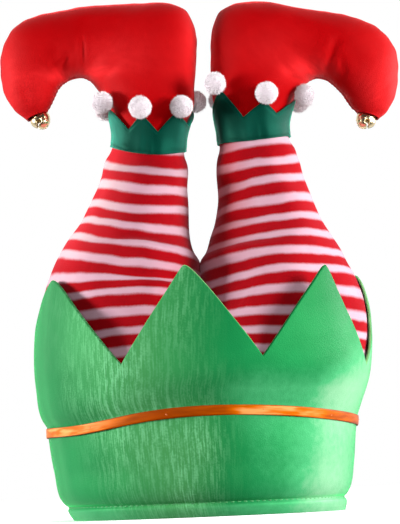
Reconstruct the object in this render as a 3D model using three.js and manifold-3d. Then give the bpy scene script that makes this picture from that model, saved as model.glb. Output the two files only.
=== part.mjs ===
// Elf-legs party hat. A soft green head band with a zigzag top edge carries two stuffed, striped
// legs that stand upside down. Each leg ends in a zigzag ankle collar with a pompom on every point
// and in a curled shoe, whose toe holds a jingle bell.
// Millimetres, +Z up, the face side towards -Y, the origin at the centre of the head opening.
import * as THREE from "three";
import { mergeVertices } from "three/addons/utils/BufferGeometryUtils.js";
import Module from "manifold-3d";

const wasm = await Module();
wasm.setup();

// Clearances and cloth
const SEWN_GAP = 0.3; // left between pieces that are sewn together
const SAME_POINT = 1e-4; // points closer than this are one point
const BAND_WALL = 2.4; // velvet on a foam backing
const COLLAR_WALL = 1.6;
const RIBBON_WIDTH = 5.8;
const RIBBON_WALL = 0.7;
const RIBBON_MID = 59.8; // height at the sides of the head
const RIBBON_RISE = 7; // how much higher it runs over the brow and the nape
const RIBBON_DROOP = 4; // how far it hangs lower beside the brow
const DROOP_AT = -45; // degrees from the front
const DROOP_SPAN = 26;

// Stuffed legs
const LEG_SIDES = 24;
const LEG_FOOT = 90; // height at which the legs are sewn to the inside of the band
const SEAM_HEIGHT = 6; // where leg and shoe meet, above the lower edge of the collar
const CEILING_RINGS = [0.72, 0.4]; // rings of the ceiling, as shares of the leg's outline

// Curled shoes, bells and pompoms
const SHOE_SIDES = 20;
const BELL_RADIUS = 6.8;
const BELL_WALL = 0.8;
const BELL_SLOT = 1.4; // width of a slot
const BELL_SLOT_SPAN = 0.8; // length of a slot as a share of the bell's width
const BELL_HOLE = 1.7; // radius of the round hole at each end of a slot
const BELL_HOLE_SIDES = 8;
const BALL_SIDES = 16; // facets of a bell and of its pocket in the toe, round the ball
const BALL_RINGS = 10; // and from pole to pole
const POMPOM_RADIUS = 8.2;
const POMPOM_TUFT = 1; // how far the tufts stand out of the ball
const POMPOM_DETAIL = 2; // how often the facets of the ball are halved
const TUFT_SPREAD = 12.9; // sets neighbouring tufts to unlike heights

// Outside of the band from the hem up to where the zigzag starts. shift is how far the soft band
// sits to +X; follows is 1 where a row keeps its distance to the ribbon, which pinches the band.
const bandRows = [
  { z: 0, radius: 93, shift: -0.5, follows: 0 },
  { z: 3.5, radius: 94.9, shift: -1.2, follows: 0 },
  { z: 7.5, radius: 95.8, shift: -2, follows: 0 },
  { z: 9, radius: 95.1, shift: -2.3, follows: 0 },
  { z: 11, radius: 96.7, shift: -2.6, follows: 0 },
  { z: 34, radius: 103.4, shift: -2.8, follows: 0 },
  { z: 56, radius: 106.2, shift: -3.2, follows: 1 },
  { z: 63.6, radius: 107, shift: -3, follows: 1 },
  { z: 69, radius: 110.8, shift: -2.4, follows: 1 },
  { z: 92, radius: 116.2, shift: -1, follows: 0 },
];
const ROWS_ONLY_OUTSIDE = new Set([1, 2, 4, 8]); // the inside runs plainly past these rows

// Outside of the band where the points stand up.
const pointRows = [
  { z: 92, radius: 116.2, shift: -1 },
  { z: 112, radius: 117.6, shift: -0.4 },
  { z: 130, radius: 117.2, shift: 0.5 },
  { z: 146, radius: 116.2, shift: 2 },
  { z: 160, radius: 114.4, shift: 3.2 },
  { z: 172, radius: 112, shift: 4.6 },
];

// The band's six points: angle in degrees from the front towards +X and height of each tip and of
// the valley after it. fall and rise bow the two edges of that valley: over 1 is full, under 1 hollow.
const bandPoints = [
  { tip: -66, tipZ: 160, valley: -26.6, valleyZ: 97.5, fall: 1.35, rise: 0.88 },
  { tip: -6.8, tipZ: 158.5, valley: 19.3, valleyZ: 99, fall: 1.08, rise: 1.05 },
  { tip: 43.5, tipZ: 158.5, valley: 71.5, valleyZ: 95, fall: 0.72, rise: 1.1 },
  { tip: 107, tipZ: 164, valley: 136, valleyZ: 99, fall: 1.1, rise: 1.1 },
  { tip: 165, tipZ: 159, valley: 197, valleyZ: 98, fall: 1.1, rise: 1.1 },
  { tip: 229, tipZ: 160, valley: 262, valleyZ: 99, fall: 1.1, rise: 1.1 },
];

// Sections of the legs from the band up. out is the edge away from the other leg and in the edge
// beside it; deepest is where the section is deepest, from 0 at out to 1 at in; depth is half the
// depth front to back; lift raises the middle of the hat, so that the head hollow has a domed ceiling.
const legRows = {
  left: [
    { outX: -113, outZ: LEG_FOOT, inX: -0.3, inZ: LEG_FOOT, deepest: 1, depth: 112, lift: 26 },
    { outX: -112.4, outZ: 104, inX: -0.3, inZ: 104, deepest: 0.97, depth: 106, lift: 18 },
    { outX: -112.6, outZ: 124, inX: -0.3, inZ: 121, deepest: 0.86, depth: 91, lift: 9 },
    { outX: -111.8, outZ: 142, inX: -0.3, inZ: 138, deepest: 0.74, depth: 84, lift: 3 },
    { outX: -108.5, outZ: 158, inX: -0.4, inZ: 154, deepest: 0.66, depth: 79, lift: 0 },
    { outX: -101, outZ: 177, inX: -0.3, inZ: 169, deepest: 0.6, depth: 71, lift: 0 },
    { outX: -97, outZ: 184, inX: -0.4, inZ: 175.4, deepest: 0.58, depth: 68, lift: 0 },
    { outX: -91.9, outZ: 192, inX: -4, inZ: 182, deepest: 0.55, depth: 62, lift: 0 },
    { outX: -82.5, outZ: 204.5, inX: -6.6, inZ: 194, deepest: 0.52, depth: 53, lift: 0 },
    { outX: -74, outZ: 221, inX: -7.2, inZ: 211, deepest: 0.5, depth: 44, lift: 0 },
    { outX: -67.6, outZ: 236, inX: -7, inZ: 228, deepest: 0.5, depth: 36.5, lift: 0 },
  ],
  right: [
    { outX: 111.3, outZ: LEG_FOOT, inX: 0.3, inZ: LEG_FOOT, deepest: 1, depth: 112, lift: 26 },
    { outX: 112, outZ: 104, inX: 0.3, inZ: 104, deepest: 0.97, depth: 106, lift: 18 },
    { outX: 113, outZ: 124, inX: 0.3, inZ: 121, deepest: 0.86, depth: 91, lift: 9 },
    { outX: 112.4, outZ: 142, inX: 0.3, inZ: 138, deepest: 0.74, depth: 84, lift: 3 },
    { outX: 108, outZ: 158, inX: 0.4, inZ: 152, deepest: 0.66, depth: 79, lift: 0 },
    { outX: 101.5, outZ: 171, inX: 0.3, inZ: 166, deepest: 0.6, depth: 72, lift: 0 },
    { outX: 98.2, outZ: 178, inX: 0.4, inZ: 174.6, deepest: 0.58, depth: 69, lift: 0 },
    { outX: 94, outZ: 186, inX: 4.6, inZ: 180, deepest: 0.55, depth: 63, lift: 0 },
    { outX: 87, outZ: 199.5, inX: 9, inZ: 192.5, deepest: 0.52, depth: 54, lift: 0 },
    { outX: 80, outZ: 216.5, inX: 13.2, inZ: 207.5, deepest: 0.5, depth: 45, lift: 0 },
    { outX: 75, outZ: 230, inX: 14.6, inZ: 221.5, deepest: 0.5, depth: 38, lift: 0 },
  ],
};

// The ankles: where the lower edge of each collar is centred, how it tilts, how far its edge dips in
// front and behind, and the stuffed ankle inside it as half sizes to -X, to +X and front to back.
const ankles = {
  left: {
    place: [-33.1, 3, 257.5],
    pitch: 10,
    roll: 6,
    dip: 3.5,
    profile: [
      { height: -9, left: 29.2, right: 28.2, depth: 29 },
      { height: -3, left: 26.4, right: 25.8, depth: 26 },
      { height: 2, left: 25, right: 25, depth: 24.6 },
      { height: 12, left: 25.2, right: 25, depth: 24.4 },
      { height: 20, left: 26.8, right: 25.8, depth: 25 },
      { height: 31, left: 31.4, right: 29.8, depth: 26.4 },
      { height: 40, left: 36, right: 31, depth: 27 },
    ],
  },
  right: {
    place: [41.6, 1, 260],
    pitch: 5,
    roll: -4,
    dip: 2,
    profile: [
      { height: -9, left: 26.6, right: 28.4, depth: 28.4 },
      { height: -3, left: 24.8, right: 25.4, depth: 25.6 },
      { height: 2, left: 24.2, right: 24.2, depth: 24 },
      { height: 12, left: 24, right: 25, depth: 24 },
      { height: 20, left: 24, right: 27.4, depth: 24.6 },
      { height: 31, left: 25.4, right: 34.4, depth: 26 },
      { height: 40, left: 26, right: 38, depth: 26.6 },
    ],
  },
};
const LEG_TOP_HEIGHTS = [-9, -3, 2, SEAM_HEIGHT - SEWN_GAP / 2];
const SHOE_FOOT_HEIGHTS = [SEAM_HEIGHT + SEWN_GAP / 2, 12, 20, 31];

// The collars' six points: angle from the front towards +X and height of each tip and of the valley
// after it, both above the lower edge of the collar. up is how much more upwards than outwards the
// pompom sits on its tip.
const collarPoints = {
  left: [
    { tip: -58, tipHeight: 26, valley: -31, valleyHeight: 13, up: 0.7 },
    { tip: -10, tipHeight: 23.5, valley: 14, valleyHeight: 12.5, up: 0.8 },
    { tip: 34, tipHeight: 26, valley: 76, valleyHeight: 18, up: 0.8 },
    { tip: 134, tipHeight: 33, valley: 160, valleyHeight: 18, up: 0.6 },
    { tip: 184, tipHeight: 29, valley: 209, valleyHeight: 17, up: 0.8 },
    { tip: 234, tipHeight: 25, valley: 268, valleyHeight: 16, up: 0.25 },
  ],
  right: [
    { tip: -38, tipHeight: 35, valley: -14, valleyHeight: 15, up: 0.8 },
    { tip: 16, tipHeight: 24, valley: 38, valleyHeight: 15.5, up: 0.8 },
    { tip: 70, tipHeight: 24.5, valley: 97, valleyHeight: 16, up: 0.35 },
    { tip: 122, tipHeight: 25, valley: 145, valleyHeight: 16, up: 0.25 },
    { tip: 167, tipHeight: 29, valley: 190, valleyHeight: 16, up: 0.8 },
    { tip: 213, tipHeight: 31, valley: 266, valleyHeight: 17, up: 0.8 },
  ],
};
const COLLAR_FLARE = 3; // how far a tip stands off the shoe
const COLLAR_FLARE_FROM = 8; // height at which the collar leaves the ankle
const COLLAR_FLARE_TO = 27; // height at which it stands off by the whole flare
const COLLAR_FLARE_BEND = 1.5; // over 1 curls outwards towards the tips
const COLLAR_EASE = SEWN_GAP + 0.25; // clear of the ankle between the facets of both
const COLLAR_ROWS = [0, 0.3, 0.65, 1];

// Sections of the shoes from the ankle over the heel to the toe. sole is the edge along the heel and
// the sole, arch the edge along the instep, depth half the width of the shoe.
const shoeRows = {
  left: [
    { soleX: 1.6, soleZ: 303, archX: -67, archZ: 301, depth: 27.2 },
    { soleX: 3.4, soleZ: 320, archX: -71.5, archZ: 306.6, depth: 28 },
    { soleX: 3.2, soleZ: 340, archX: -76, archZ: 309, depth: 28 },
    { soleX: -3, soleZ: 355.6, archX: -79, archZ: 309.8, depth: 27.4 },
    { soleX: -14.5, soleZ: 360.6, archX: -81, archZ: 309.9, depth: 26.8 },
    { soleX: -33, soleZ: 361.4, archX: -83, archZ: 309.8, depth: 26 },
    { soleX: -60, soleZ: 361.4, archX: -85.6, archZ: 309.4, depth: 25 },
    { soleX: -85, soleZ: 359.6, archX: -88.3, archZ: 308.5, depth: 24 },
    { soleX: -108, soleZ: 356.1, archX: -91, archZ: 306.8, depth: 22.5 },
    { soleX: -125.2, soleZ: 347.2, archX: -93.6, archZ: 304.2, depth: 20.8 },
    { soleX: -133.6, soleZ: 332, archX: -95.8, archZ: 300.6, depth: 18.6 },
    { soleX: -134.9, soleZ: 314, archX: -98, archZ: 296.6, depth: 16 },
    { soleX: -132.2, soleZ: 297.8, archX: -100, archZ: 292.6, depth: 13 },
    { soleX: -126, soleZ: 287.8, archX: -101.8, archZ: 289.3, depth: 10.4 },
    { soleX: -118.2, soleZ: 281.4, archX: -103.4, archZ: 286.6, depth: 8 },
  ],
  right: [
    { soleX: 13.6, soleZ: 303, archX: 78, archZ: 297.2, depth: 26.4 },
    { soleX: 13.5, soleZ: 320, archX: 82.5, archZ: 300.8, depth: 27.4 },
    { soleX: 15.2, soleZ: 339, archX: 86.6, archZ: 302.2, depth: 27.4 },
    { soleX: 21.6, soleZ: 353.6, archX: 89.4, archZ: 302.7, depth: 27 },
    { soleX: 31.5, soleZ: 358.8, archX: 91.2, archZ: 302.6, depth: 26.6 },
    { soleX: 48, soleZ: 359.4, archX: 93, archZ: 302.1, depth: 26 },
    { soleX: 73.2, soleZ: 354.4, archX: 95.6, archZ: 300.9, depth: 25 },
    { soleX: 96.4, soleZ: 349.9, archX: 98.4, archZ: 298.9, depth: 24 },
    { soleX: 115.6, soleZ: 345.4, archX: 101.4, archZ: 296, depth: 22.5 },
    { soleX: 132.7, soleZ: 337, archX: 104, archZ: 292.8, depth: 20.8 },
    { soleX: 143.6, soleZ: 321.4, archX: 106.6, archZ: 289.2, depth: 18.6 },
    { soleX: 145.8, soleZ: 304, archX: 109, archZ: 285.4, depth: 16 },
    { soleX: 142.8, soleZ: 288.2, archX: 111.4, archZ: 281.8, depth: 13 },
    { soleX: 137.2, soleZ: 278.4, archX: 113.6, archZ: 279.3, depth: 10.4 },
    { soleX: 130.4, soleZ: 272.2, archX: 115.6, archZ: 277.2, depth: 8 },
  ],
};
const SHOE_DEEPEST = 0.5;

// The bells: centre beside the axis of the toe, and how far each is turned from hanging straight down.
const bells = {
  left: { x: -108.2, z: 281.4, swing: 18 },
  right: { x: 121.2, z: 272, swing: -6 },
};

const cloth = {
  band: new THREE.MeshStandardMaterial({ color: 0x41aa5f, roughness: 0.7 }),
  ribbon: new THREE.MeshStandardMaterial({ color: 0xe66e0a, roughness: 0.4 }),
  leg: new THREE.MeshStandardMaterial({ color: 0xd9677a, roughness: 0.9 }),
  collar: new THREE.MeshStandardMaterial({ color: 0x0f6e55, roughness: 0.5 }),
  shoe: new THREE.MeshStandardMaterial({ color: 0xc8050a, roughness: 0.85 }),
  pompom: new THREE.MeshStandardMaterial({ color: 0xebdce4, roughness: 1 }),
  bell: new THREE.MeshStandardMaterial({ color: 0xc79a4a, roughness: 0.25, metalness: 1 }),
};

// Every column of a table at one place along its key column, on a cubic through the rows.
function sample(rows, key, at) {
  let i = 0;
  while (i < rows.length - 2 && at > rows[i + 1][key]) i += 1;
  const [low, high] = [rows[i], rows[i + 1]];
  const span = high[key] - low[key];
  const t = THREE.MathUtils.clamp((at - low[key]) / span, 0, 1);
  const slope = (n, column) => {
    const before = rows[Math.max(n - 1, 0)];
    const after = rows[Math.min(n + 1, rows.length - 1)];
    return (after[column] - before[column]) / (after[key] - before[key]);
  };
  const found = {};
  for (const column of Object.keys(low)) {
    const ends = (1 - t) * (1 - t) * (1 + 2 * t) * low[column] + t * t * (3 - 2 * t) * high[column];
    const bends = (1 - t) * slope(i, column) - t * slope(i + 1, column);
    found[column] = ends + t * (1 - t) * span * bends;
  }
  return found;
}

// A closed solid over rings of points. Rings that wrap run round the head; the others are fanned shut.
function skin(rings, wraps = false) {
  const sides = rings[0].length;
  const points = rings.flat();
  const index = [];
  const steps = wraps ? rings.length : rings.length - 1;
  for (let i = 0; i < steps; i += 1) {
    const next = (i + 1) % rings.length;
    for (let j = 0; j < sides; j += 1) {
      const turn = (j + 1) % sides;
      const [a, b] = [i * sides + j, i * sides + turn];
      const [c, d] = [next * sides + j, next * sides + turn];
      index.push(a, b, d, a, d, c);
    }
  }
  if (!wraps) {
    const last = (rings.length - 1) * sides;
    for (const [ring, first, flip] of [[rings[0], 0, true], [rings.at(-1), last, false]]) {
      const middle = ring.reduce((sum, p) => sum.add(p), new THREE.Vector3());
      const hub = points.push(middle.divideScalar(sides)) - 1;
      for (let j = 0; j < sides; j += 1) {
        const [a, b] = [first + j, first + ((j + 1) % sides)];
        index.push(hub, flip ? b : a, flip ? a : b);
      }
    }
  }
  return facingOut(new THREE.BufferGeometry().setFromPoints(points).setIndex(index));
}

// The same geometry with its faces turned outwards, whichever way round its rings ran.
function facingOut(geometry) {
  const [at, index] = [geometry.getAttribute("position"), geometry.index];
  const corner = [new THREE.Vector3(), new THREE.Vector3(), new THREE.Vector3()];
  let volume = 0;
  for (let i = 0; i < index.count; i += 3) {
    corner.forEach((p, n) => p.fromBufferAttribute(at, index.getX(i + n)));
    volume += corner[0].dot(corner[1].cross(corner[2]));
  }
  if (volume < 0) index.array.reverse();
  geometry.computeVertexNormals();
  return geometry;
}

// Solids for joining and cutting, and back.
function solidOf(geometry) {
  const bare = new THREE.BufferGeometry();
  bare.setAttribute("position", geometry.getAttribute("position"));
  bare.setIndex(geometry.index);
  const merged = mergeVertices(bare, SAME_POINT);
  return new wasm.Manifold(
    new wasm.Mesh({
      numProp: 3,
      vertProperties: new Float32Array(merged.getAttribute("position").array),
      triVerts: new Uint32Array(merged.index.array),
    }),
  );
}

function geometryOf(solid) {
  const mesh = solid.getMesh();
  const geometry = new THREE.BufferGeometry();
  geometry.setAttribute("position", new THREE.BufferAttribute(mesh.vertProperties, 3));
  geometry.setIndex(new THREE.BufferAttribute(mesh.triVerts, 1));
  geometry.computeVertexNormals();
  return geometry;
}

function piece(name, geometry, material) {
  const mesh = new THREE.Mesh(geometry, material);
  mesh.name = name;
  return mesh;
}

// Unit direction round the head or an ankle, in degrees from the front towards +X.
function outwards(degrees) {
  const angle = THREE.MathUtils.degToRad(degrees);
  return new THREE.Vector3(Math.sin(angle), -Math.cos(angle), 0);
}

// Angles and edge heights of a zigzag, round the whole turn. Each slope takes its columns at the
// given shares of the way from tip to valley; the tips are rounded and the edges bowed.
function zigzag(points, shares, roundness) {
  const columns = [];
  const drop = (share, bow) => {
    const eased = Math.hypot(share, roundness) - roundness;
    return (eased / (Math.hypot(1, roundness) - roundness)) ** bow;
  };
  points.forEach((row, n) => {
    const next = points[(n + 1) % points.length];
    const nextTip = next.tip + (n + 1 === points.length ? 360 : 0);
    for (const share of shares) {
      columns.push({
        angle: THREE.MathUtils.lerp(row.tip, row.valley, share),
        edge: THREE.MathUtils.lerp(row.tipZ, row.valleyZ, drop(share, row.fall)),
      });
    }
    for (const share of shares) {
      columns.push({
        angle: THREE.MathUtils.lerp(row.valley, nextTip, share),
        edge: THREE.MathUtils.lerp(next.tipZ, row.valleyZ, drop(1 - share, row.rise)),
      });
    }
  });
  return columns;
}

// The head band: one wall from the flat hem to the zigzag edge.
const BAND_SHARES = [0, 0.07, 0.33, 0.62, 0.9];
const BAND_TIP_ROUNDNESS = 0.06;
const POINT_LEVELS = [0.36, 0.7, 1];
const bandColumns = zigzag(bandPoints, BAND_SHARES, BAND_TIP_ROUNDNESS);

// Height of the ribbon over its height at the sides: up over brow and nape, and a soft droop beside the brow.
function ribbonRise(degrees) {
  const rise = RIBBON_RISE * Math.cos(THREE.MathUtils.degToRad(degrees)) ** 2;
  const fromDroop = THREE.MathUtils.euclideanModulo(degrees - DROOP_AT + 180, 360) - 180;
  return rise - RIBBON_DROOP * Math.exp(-((fromDroop / DROOP_SPAN) ** 2));
}

// A point of the band, or standing off it, at an angle round the head.
function onBand(degrees, row, standOff, z = row.z) {
  const point = outwards(degrees).multiplyScalar(row.radius + standOff);
  return point.setX(point.x + row.shift).setZ(z);
}

function bandGeometry() {
  const start = pointRows[0].z;
  const rings = bandColumns.map(({ angle, edge }) => {
    const rows = bandRows.map((row) => ({ ...row, z: row.z + row.follows * ribbonRise(angle) }));
    const inner = rows.filter((row, n) => !ROWS_ONLY_OUTSIDE.has(n));
    const points = POINT_LEVELS.map((level) => sample(pointRows, "z", start + level * (edge - start)));
    return [
      ...[...rows, ...points].reverse().map((row) => onBand(angle, row, 0)),
      ...[...inner, ...points].map((row) => onBand(angle, row, -BAND_WALL)),
    ];
  });
  return skin(rings, true);
}

// The ribbon: a flat loop on the band, where the band is pinched.
function ribbonGeometry() {
  const pinch = bandRows.filter((row) => row.follows);
  const rings = bandColumns.map(({ angle }) => {
    const rim = (side, lift) => {
      const z = RIBBON_MID + (side * RIBBON_WIDTH) / 2;
      const share = (z - pinch[0].z) / (pinch[1].z - pinch[0].z);
      const row = {
        radius: THREE.MathUtils.lerp(pinch[0].radius, pinch[1].radius, share),
        shift: THREE.MathUtils.lerp(pinch[0].shift, pinch[1].shift, share),
      };
      return onBand(angle, row, SEWN_GAP + lift, z + ribbonRise(angle));
    };
    return [rim(1, RIBBON_WALL), rim(-1, RIBBON_WALL), rim(-1, 0), rim(1, 0)];
  });
  return skin(rings, true);
}

// An oval section between two edge points, from to to, deepest some way across.
function oval({ from, to, deepest, depth, y = 0 }, sides) {
  return Array.from({ length: sides }, (_, j) => {
    const turn = (2 * Math.PI * j) / sides;
    const [across, back] = [Math.cos(turn), Math.sin(turn)];
    const share = across < 0 ? deepest * (1 + across) : deepest + (1 - deepest) * across;
    return new THREE.Vector3().lerpVectors(from, to, share).setY(y + depth * back);
  });
}

// The frame of an ankle, in which its collar and pompoms are placed.
function ankleGroup(ankle) {
  const group = new THREE.Group();
  group.position.set(...ankle.place);
  group.rotation.set(THREE.MathUtils.degToRad(ankle.pitch), THREE.MathUtils.degToRad(ankle.roll), 0);
  group.updateMatrix();
  return group;
}

// A point on the ankle, or standing off it, at an angle and a height in the ankle's own frame.
function onAnkle(ankle, degrees, height, standOff = 0) {
  const size = sample(ankle.profile, "height", height);
  const out = outwards(degrees);
  const half = out.x < 0 ? size.left : size.right;
  return new THREE.Vector3((half + standOff) * out.x, (size.depth + standOff) * out.y, height);
}

function ankleRing(ankle, height, sides) {
  const { matrix } = ankleGroup(ankle);
  const step = 360 / sides;
  return Array.from({ length: sides }, (_, j) => onAnkle(ankle, 90 + j * step, height).applyMatrix4(matrix));
}

// A stuffed leg: from the domed ceiling of the head hollow up to the seam inside its collar.
function legGeometry(side) {
  const rows = legRows[side];
  const reach = rows[0].depth;
  const dome = (p, lift) => lift * Math.max(0, 1 - (p.x * p.x + p.y * p.y) / (reach * reach));
  const body = rows.map((row) => {
    const out = new THREE.Vector3(row.outX, 0, row.outZ);
    const inner = new THREE.Vector3(row.inX, 0, row.inZ);
    const section = side === "left"
      ? { from: out, to: inner, deepest: row.deepest, depth: row.depth }
      : { from: inner, to: out, deepest: 1 - row.deepest, depth: row.depth };
    return oval(section, LEG_SIDES).map((p) => p.setZ(p.z + dome(p, row.lift)));
  });
  const foot = body[0];
  const middle = foot.reduce((sum, p) => sum.add(p), new THREE.Vector3()).divideScalar(LEG_SIDES);
  const ceiling = CEILING_RINGS.map((share) =>
    foot.map((p) => {
      const q = new THREE.Vector3().lerpVectors(middle, p, share);
      return q.setZ(LEG_FOOT + dome(q, rows[0].lift));
    }),
  );
  const top = LEG_TOP_HEIGHTS.map((height) => ankleRing(ankles[side], height, LEG_SIDES));
  return skin([...ceiling.reverse(), ...body, ...top]);
}

// A shoe: out of the collar, round the heel, along the sole and down to the toe, which holds the bell.
function shoeGeometry(side) {
  const ankle = ankles[side];
  const foot = SHOE_FOOT_HEIGHTS.map((height) => ankleRing(ankle, height, SHOE_SIDES));
  const y = shoeLean(side);
  const body = shoeRows[side].map((row) => {
    const sole = new THREE.Vector3(row.soleX, 0, row.soleZ);
    const arch = new THREE.Vector3(row.archX, 0, row.archZ);
    const [from, to] = side === "left" ? [arch, sole] : [sole, arch];
    return oval({ from, to, deepest: SHOE_DEEPEST, depth: row.depth, y }, SHOE_SIDES);
  });
  const pocket = new THREE.SphereGeometry(BELL_RADIUS + SEWN_GAP, BALL_SIDES, BALL_RINGS);
  pocket.translate(...bellPlace(side).toArray());
  return geometryOf(solidOf(skin([...foot, ...body])).subtract(solidOf(pocket)));
}

// How far back the middle plane of a shoe lies: as far as the leaning ankle reaches.
function shoeLean(side) {
  const top = new THREE.Vector3(0, 0, SHOE_FOOT_HEIGHTS.at(-1));
  return top.applyMatrix4(ankleGroup(ankles[side]).matrix).y;
}

function bellPlace(side) {
  return new THREE.Vector3(bells[side].x, shoeLean(side), bells[side].z);
}

// A jingle bell: a hollow ball with crossed slots in its lower half, a round hole at each slot's end.
function bellGeometry() {
  const ball = (radius) =>
    solidOf(new THREE.SphereGeometry(radius, BALL_SIDES, BALL_RINGS).rotateX(Math.PI / 2));
  let bell = ball(BELL_RADIUS).subtract(ball(BELL_RADIUS - BELL_WALL));
  const width = 2 * BELL_RADIUS;
  for (const turn of [0, Math.PI / 2]) {
    const slot = new THREE.BoxGeometry(width * BELL_SLOT_SPAN, BELL_SLOT, BELL_RADIUS);
    slot.translate(0, 0, -BELL_RADIUS).rotateZ(turn);
    bell = bell.subtract(solidOf(slot));
    const hole = new THREE.CylinderGeometry(BELL_HOLE, BELL_HOLE, width, BELL_HOLE_SIDES);
    hole.rotateZ(Math.PI / 2).translate(0, 0, -BELL_RADIUS / 2).rotateZ(turn);
    bell = bell.subtract(solidOf(hole));
  }
  return geometryOf(bell);
}

// An ankle collar: a wall that hugs the ankle and flares out into points.
const COLLAR_SHARES = [0, 0.14, 0.43, 0.72];
const COLLAR_TIP_ROUNDNESS = 0.1;

function collarFlare(height) {
  const rise = Math.max(0, height - COLLAR_FLARE_FROM) / (COLLAR_FLARE_TO - COLLAR_FLARE_FROM);
  return COLLAR_FLARE * rise ** COLLAR_FLARE_BEND;
}

function collarGeometry(side) {
  const ankle = ankles[side];
  const rows = collarPoints[side].map((row) => ({
    tip: row.tip,
    tipZ: row.tipHeight,
    valley: row.valley,
    valleyZ: row.valleyHeight,
    fall: 1,
    rise: 1,
  }));
  const rings = zigzag(rows, COLLAR_SHARES, COLLAR_TIP_ROUNDNESS).map(({ angle, edge }) => {
    const start = -ankle.dip * Math.cos(THREE.MathUtils.degToRad(angle)) ** 2;
    const wall = (standOff) => COLLAR_ROWS.map((level) => {
      const height = THREE.MathUtils.lerp(start, edge, level);
      return onAnkle(ankle, angle, height, standOff + collarFlare(height));
    });
    return [...wall(COLLAR_EASE + COLLAR_WALL).reverse(), ...wall(COLLAR_EASE)];
  });
  return skin(rings, true);
}

// The way from the tip of a collar's point to the middle of its pompom: outwards and a little up.
function pompomWay(row) {
  return outwards(row.tip).setZ(row.up).normalize();
}

// A pompom: a ball of short tufts, pressed flat where it is sewn to its tip.
const POMPOM_BALL = POMPOM_RADIUS - POMPOM_TUFT;
const SEAT_SPREAD = 0.7; // cosine of the angle round the seat that has no tufts

function pompomGeometry(row) {
  const ball = new THREE.IcosahedronGeometry(POMPOM_BALL, POMPOM_DETAIL);
  ball.deleteAttribute("normal");
  ball.deleteAttribute("uv");
  const tufted = mergeVertices(ball, SAME_POINT);
  const at = tufted.getAttribute("position");
  const away = pompomWay(row);
  const p = new THREE.Vector3();
  for (let i = 0; i < at.count; i += 1) {
    p.fromBufferAttribute(at, i);
    const seated = -p.dot(away) > SEAT_SPREAD * POMPOM_BALL;
    const tuft = seated ? 0 : 0.5 + 0.5 * Math.sin(TUFT_SPREAD * i + row.tip);
    p.setLength(POMPOM_BALL + POMPOM_TUFT * tuft);
    at.setXYZ(i, p.x, p.y, p.z);
  }
  tufted.computeVertexNormals();
  return tufted;
}

// Where a pompom sits: just off the tip of its point.
function pompomPlace(side, row) {
  const standOff = COLLAR_EASE + COLLAR_WALL + collarFlare(row.tipHeight);
  const tip = onAnkle(ankles[side], row.tip, row.tipHeight, standOff);
  return tip.addScaledVector(pompomWay(row), POMPOM_BALL + SEWN_GAP);
}

const hat = new THREE.Group();
hat.add(piece("head_band", bandGeometry(), cloth.band));
hat.add(piece("ribbon", ribbonGeometry(), cloth.ribbon));
for (const side of ["left", "right"]) {
  hat.add(piece(`leg_${side}`, legGeometry(side), cloth.leg));
  hat.add(piece(`shoe_${side}`, shoeGeometry(side), cloth.shoe));

  const ankle = ankleGroup(ankles[side]);
  ankle.add(piece(`collar_${side}`, collarGeometry(side), cloth.collar));
  collarPoints[side].forEach((row, n) => {
    const pompom = piece(`pompom_${side}_${n + 1}`, pompomGeometry(row), cloth.pompom);
    pompom.position.copy(pompomPlace(side, row));
    ankle.add(pompom);
  });
  hat.add(ankle);

  const bell = piece(`bell_${side}`, bellGeometry(), cloth.bell);
  bell.position.copy(bellPlace(side));
  bell.rotation.y = THREE.MathUtils.degToRad(bells[side].swing);
  hat.add(bell);
}

export default hat;
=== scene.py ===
# Elf-legs plush hat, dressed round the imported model.
# The tables are in millimetres and the meshes in metres.
import math

import bmesh
import bpy
import numpy as np
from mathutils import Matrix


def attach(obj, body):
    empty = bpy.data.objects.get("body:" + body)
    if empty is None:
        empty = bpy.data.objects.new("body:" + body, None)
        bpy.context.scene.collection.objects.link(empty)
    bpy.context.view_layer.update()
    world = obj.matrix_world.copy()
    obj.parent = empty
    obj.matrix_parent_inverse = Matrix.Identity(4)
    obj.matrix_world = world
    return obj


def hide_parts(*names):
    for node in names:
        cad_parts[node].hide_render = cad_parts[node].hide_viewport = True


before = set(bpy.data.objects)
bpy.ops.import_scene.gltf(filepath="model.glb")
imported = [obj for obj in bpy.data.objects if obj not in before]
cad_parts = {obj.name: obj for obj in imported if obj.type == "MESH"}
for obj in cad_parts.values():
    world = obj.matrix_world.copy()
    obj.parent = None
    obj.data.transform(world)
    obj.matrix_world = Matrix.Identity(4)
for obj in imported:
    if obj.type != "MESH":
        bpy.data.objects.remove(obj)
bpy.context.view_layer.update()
scene = bpy.context.scene
mm = 0.001
sides = ("left", "right")
print("frame loaded:", len(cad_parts), "nodes")


# Tables, curves and grids

# A short table as one array for each named column.
def columns(names, rows):
    return dict(zip(names.split(), np.array(rows, float).T))


# Some of a table's columns side by side.
def beside(table, names):
    return np.stack([table[name] for name in names.split()], 1)


# The rows of a table one after the other.
def rowsOf(table):
    return zip(*table.values())


# A column of a table between its rows, by the table's first column.
def readOff(table, name, at):
    return np.interp(at, next(iter(table.values())), table[name])


# A cubic through the rows: between two rows the value follows both rows and the slopes at them.
def cubicAt(knots, values, at):
    slopes = np.gradient(values, knots, axis=0)
    low = np.clip(np.searchsorted(knots, at, side="right") - 1, 0, len(knots) - 2)
    widen = (...,) + (None,) * (values.ndim - 1)
    span = (knots[low + 1] - knots[low])[widen]
    t = np.clip((at - knots[low])[widen] / span, 0, 1)
    ends = (1 + 2 * t) * (1 - t) ** 2 * values[low] + t * t * (3 - 2 * t) * values[low + 1]
    bends = t * (1 - t) ** 2 * slopes[low] - t * t * (1 - t) * slopes[low + 1]
    return ends + span * bends


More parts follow.
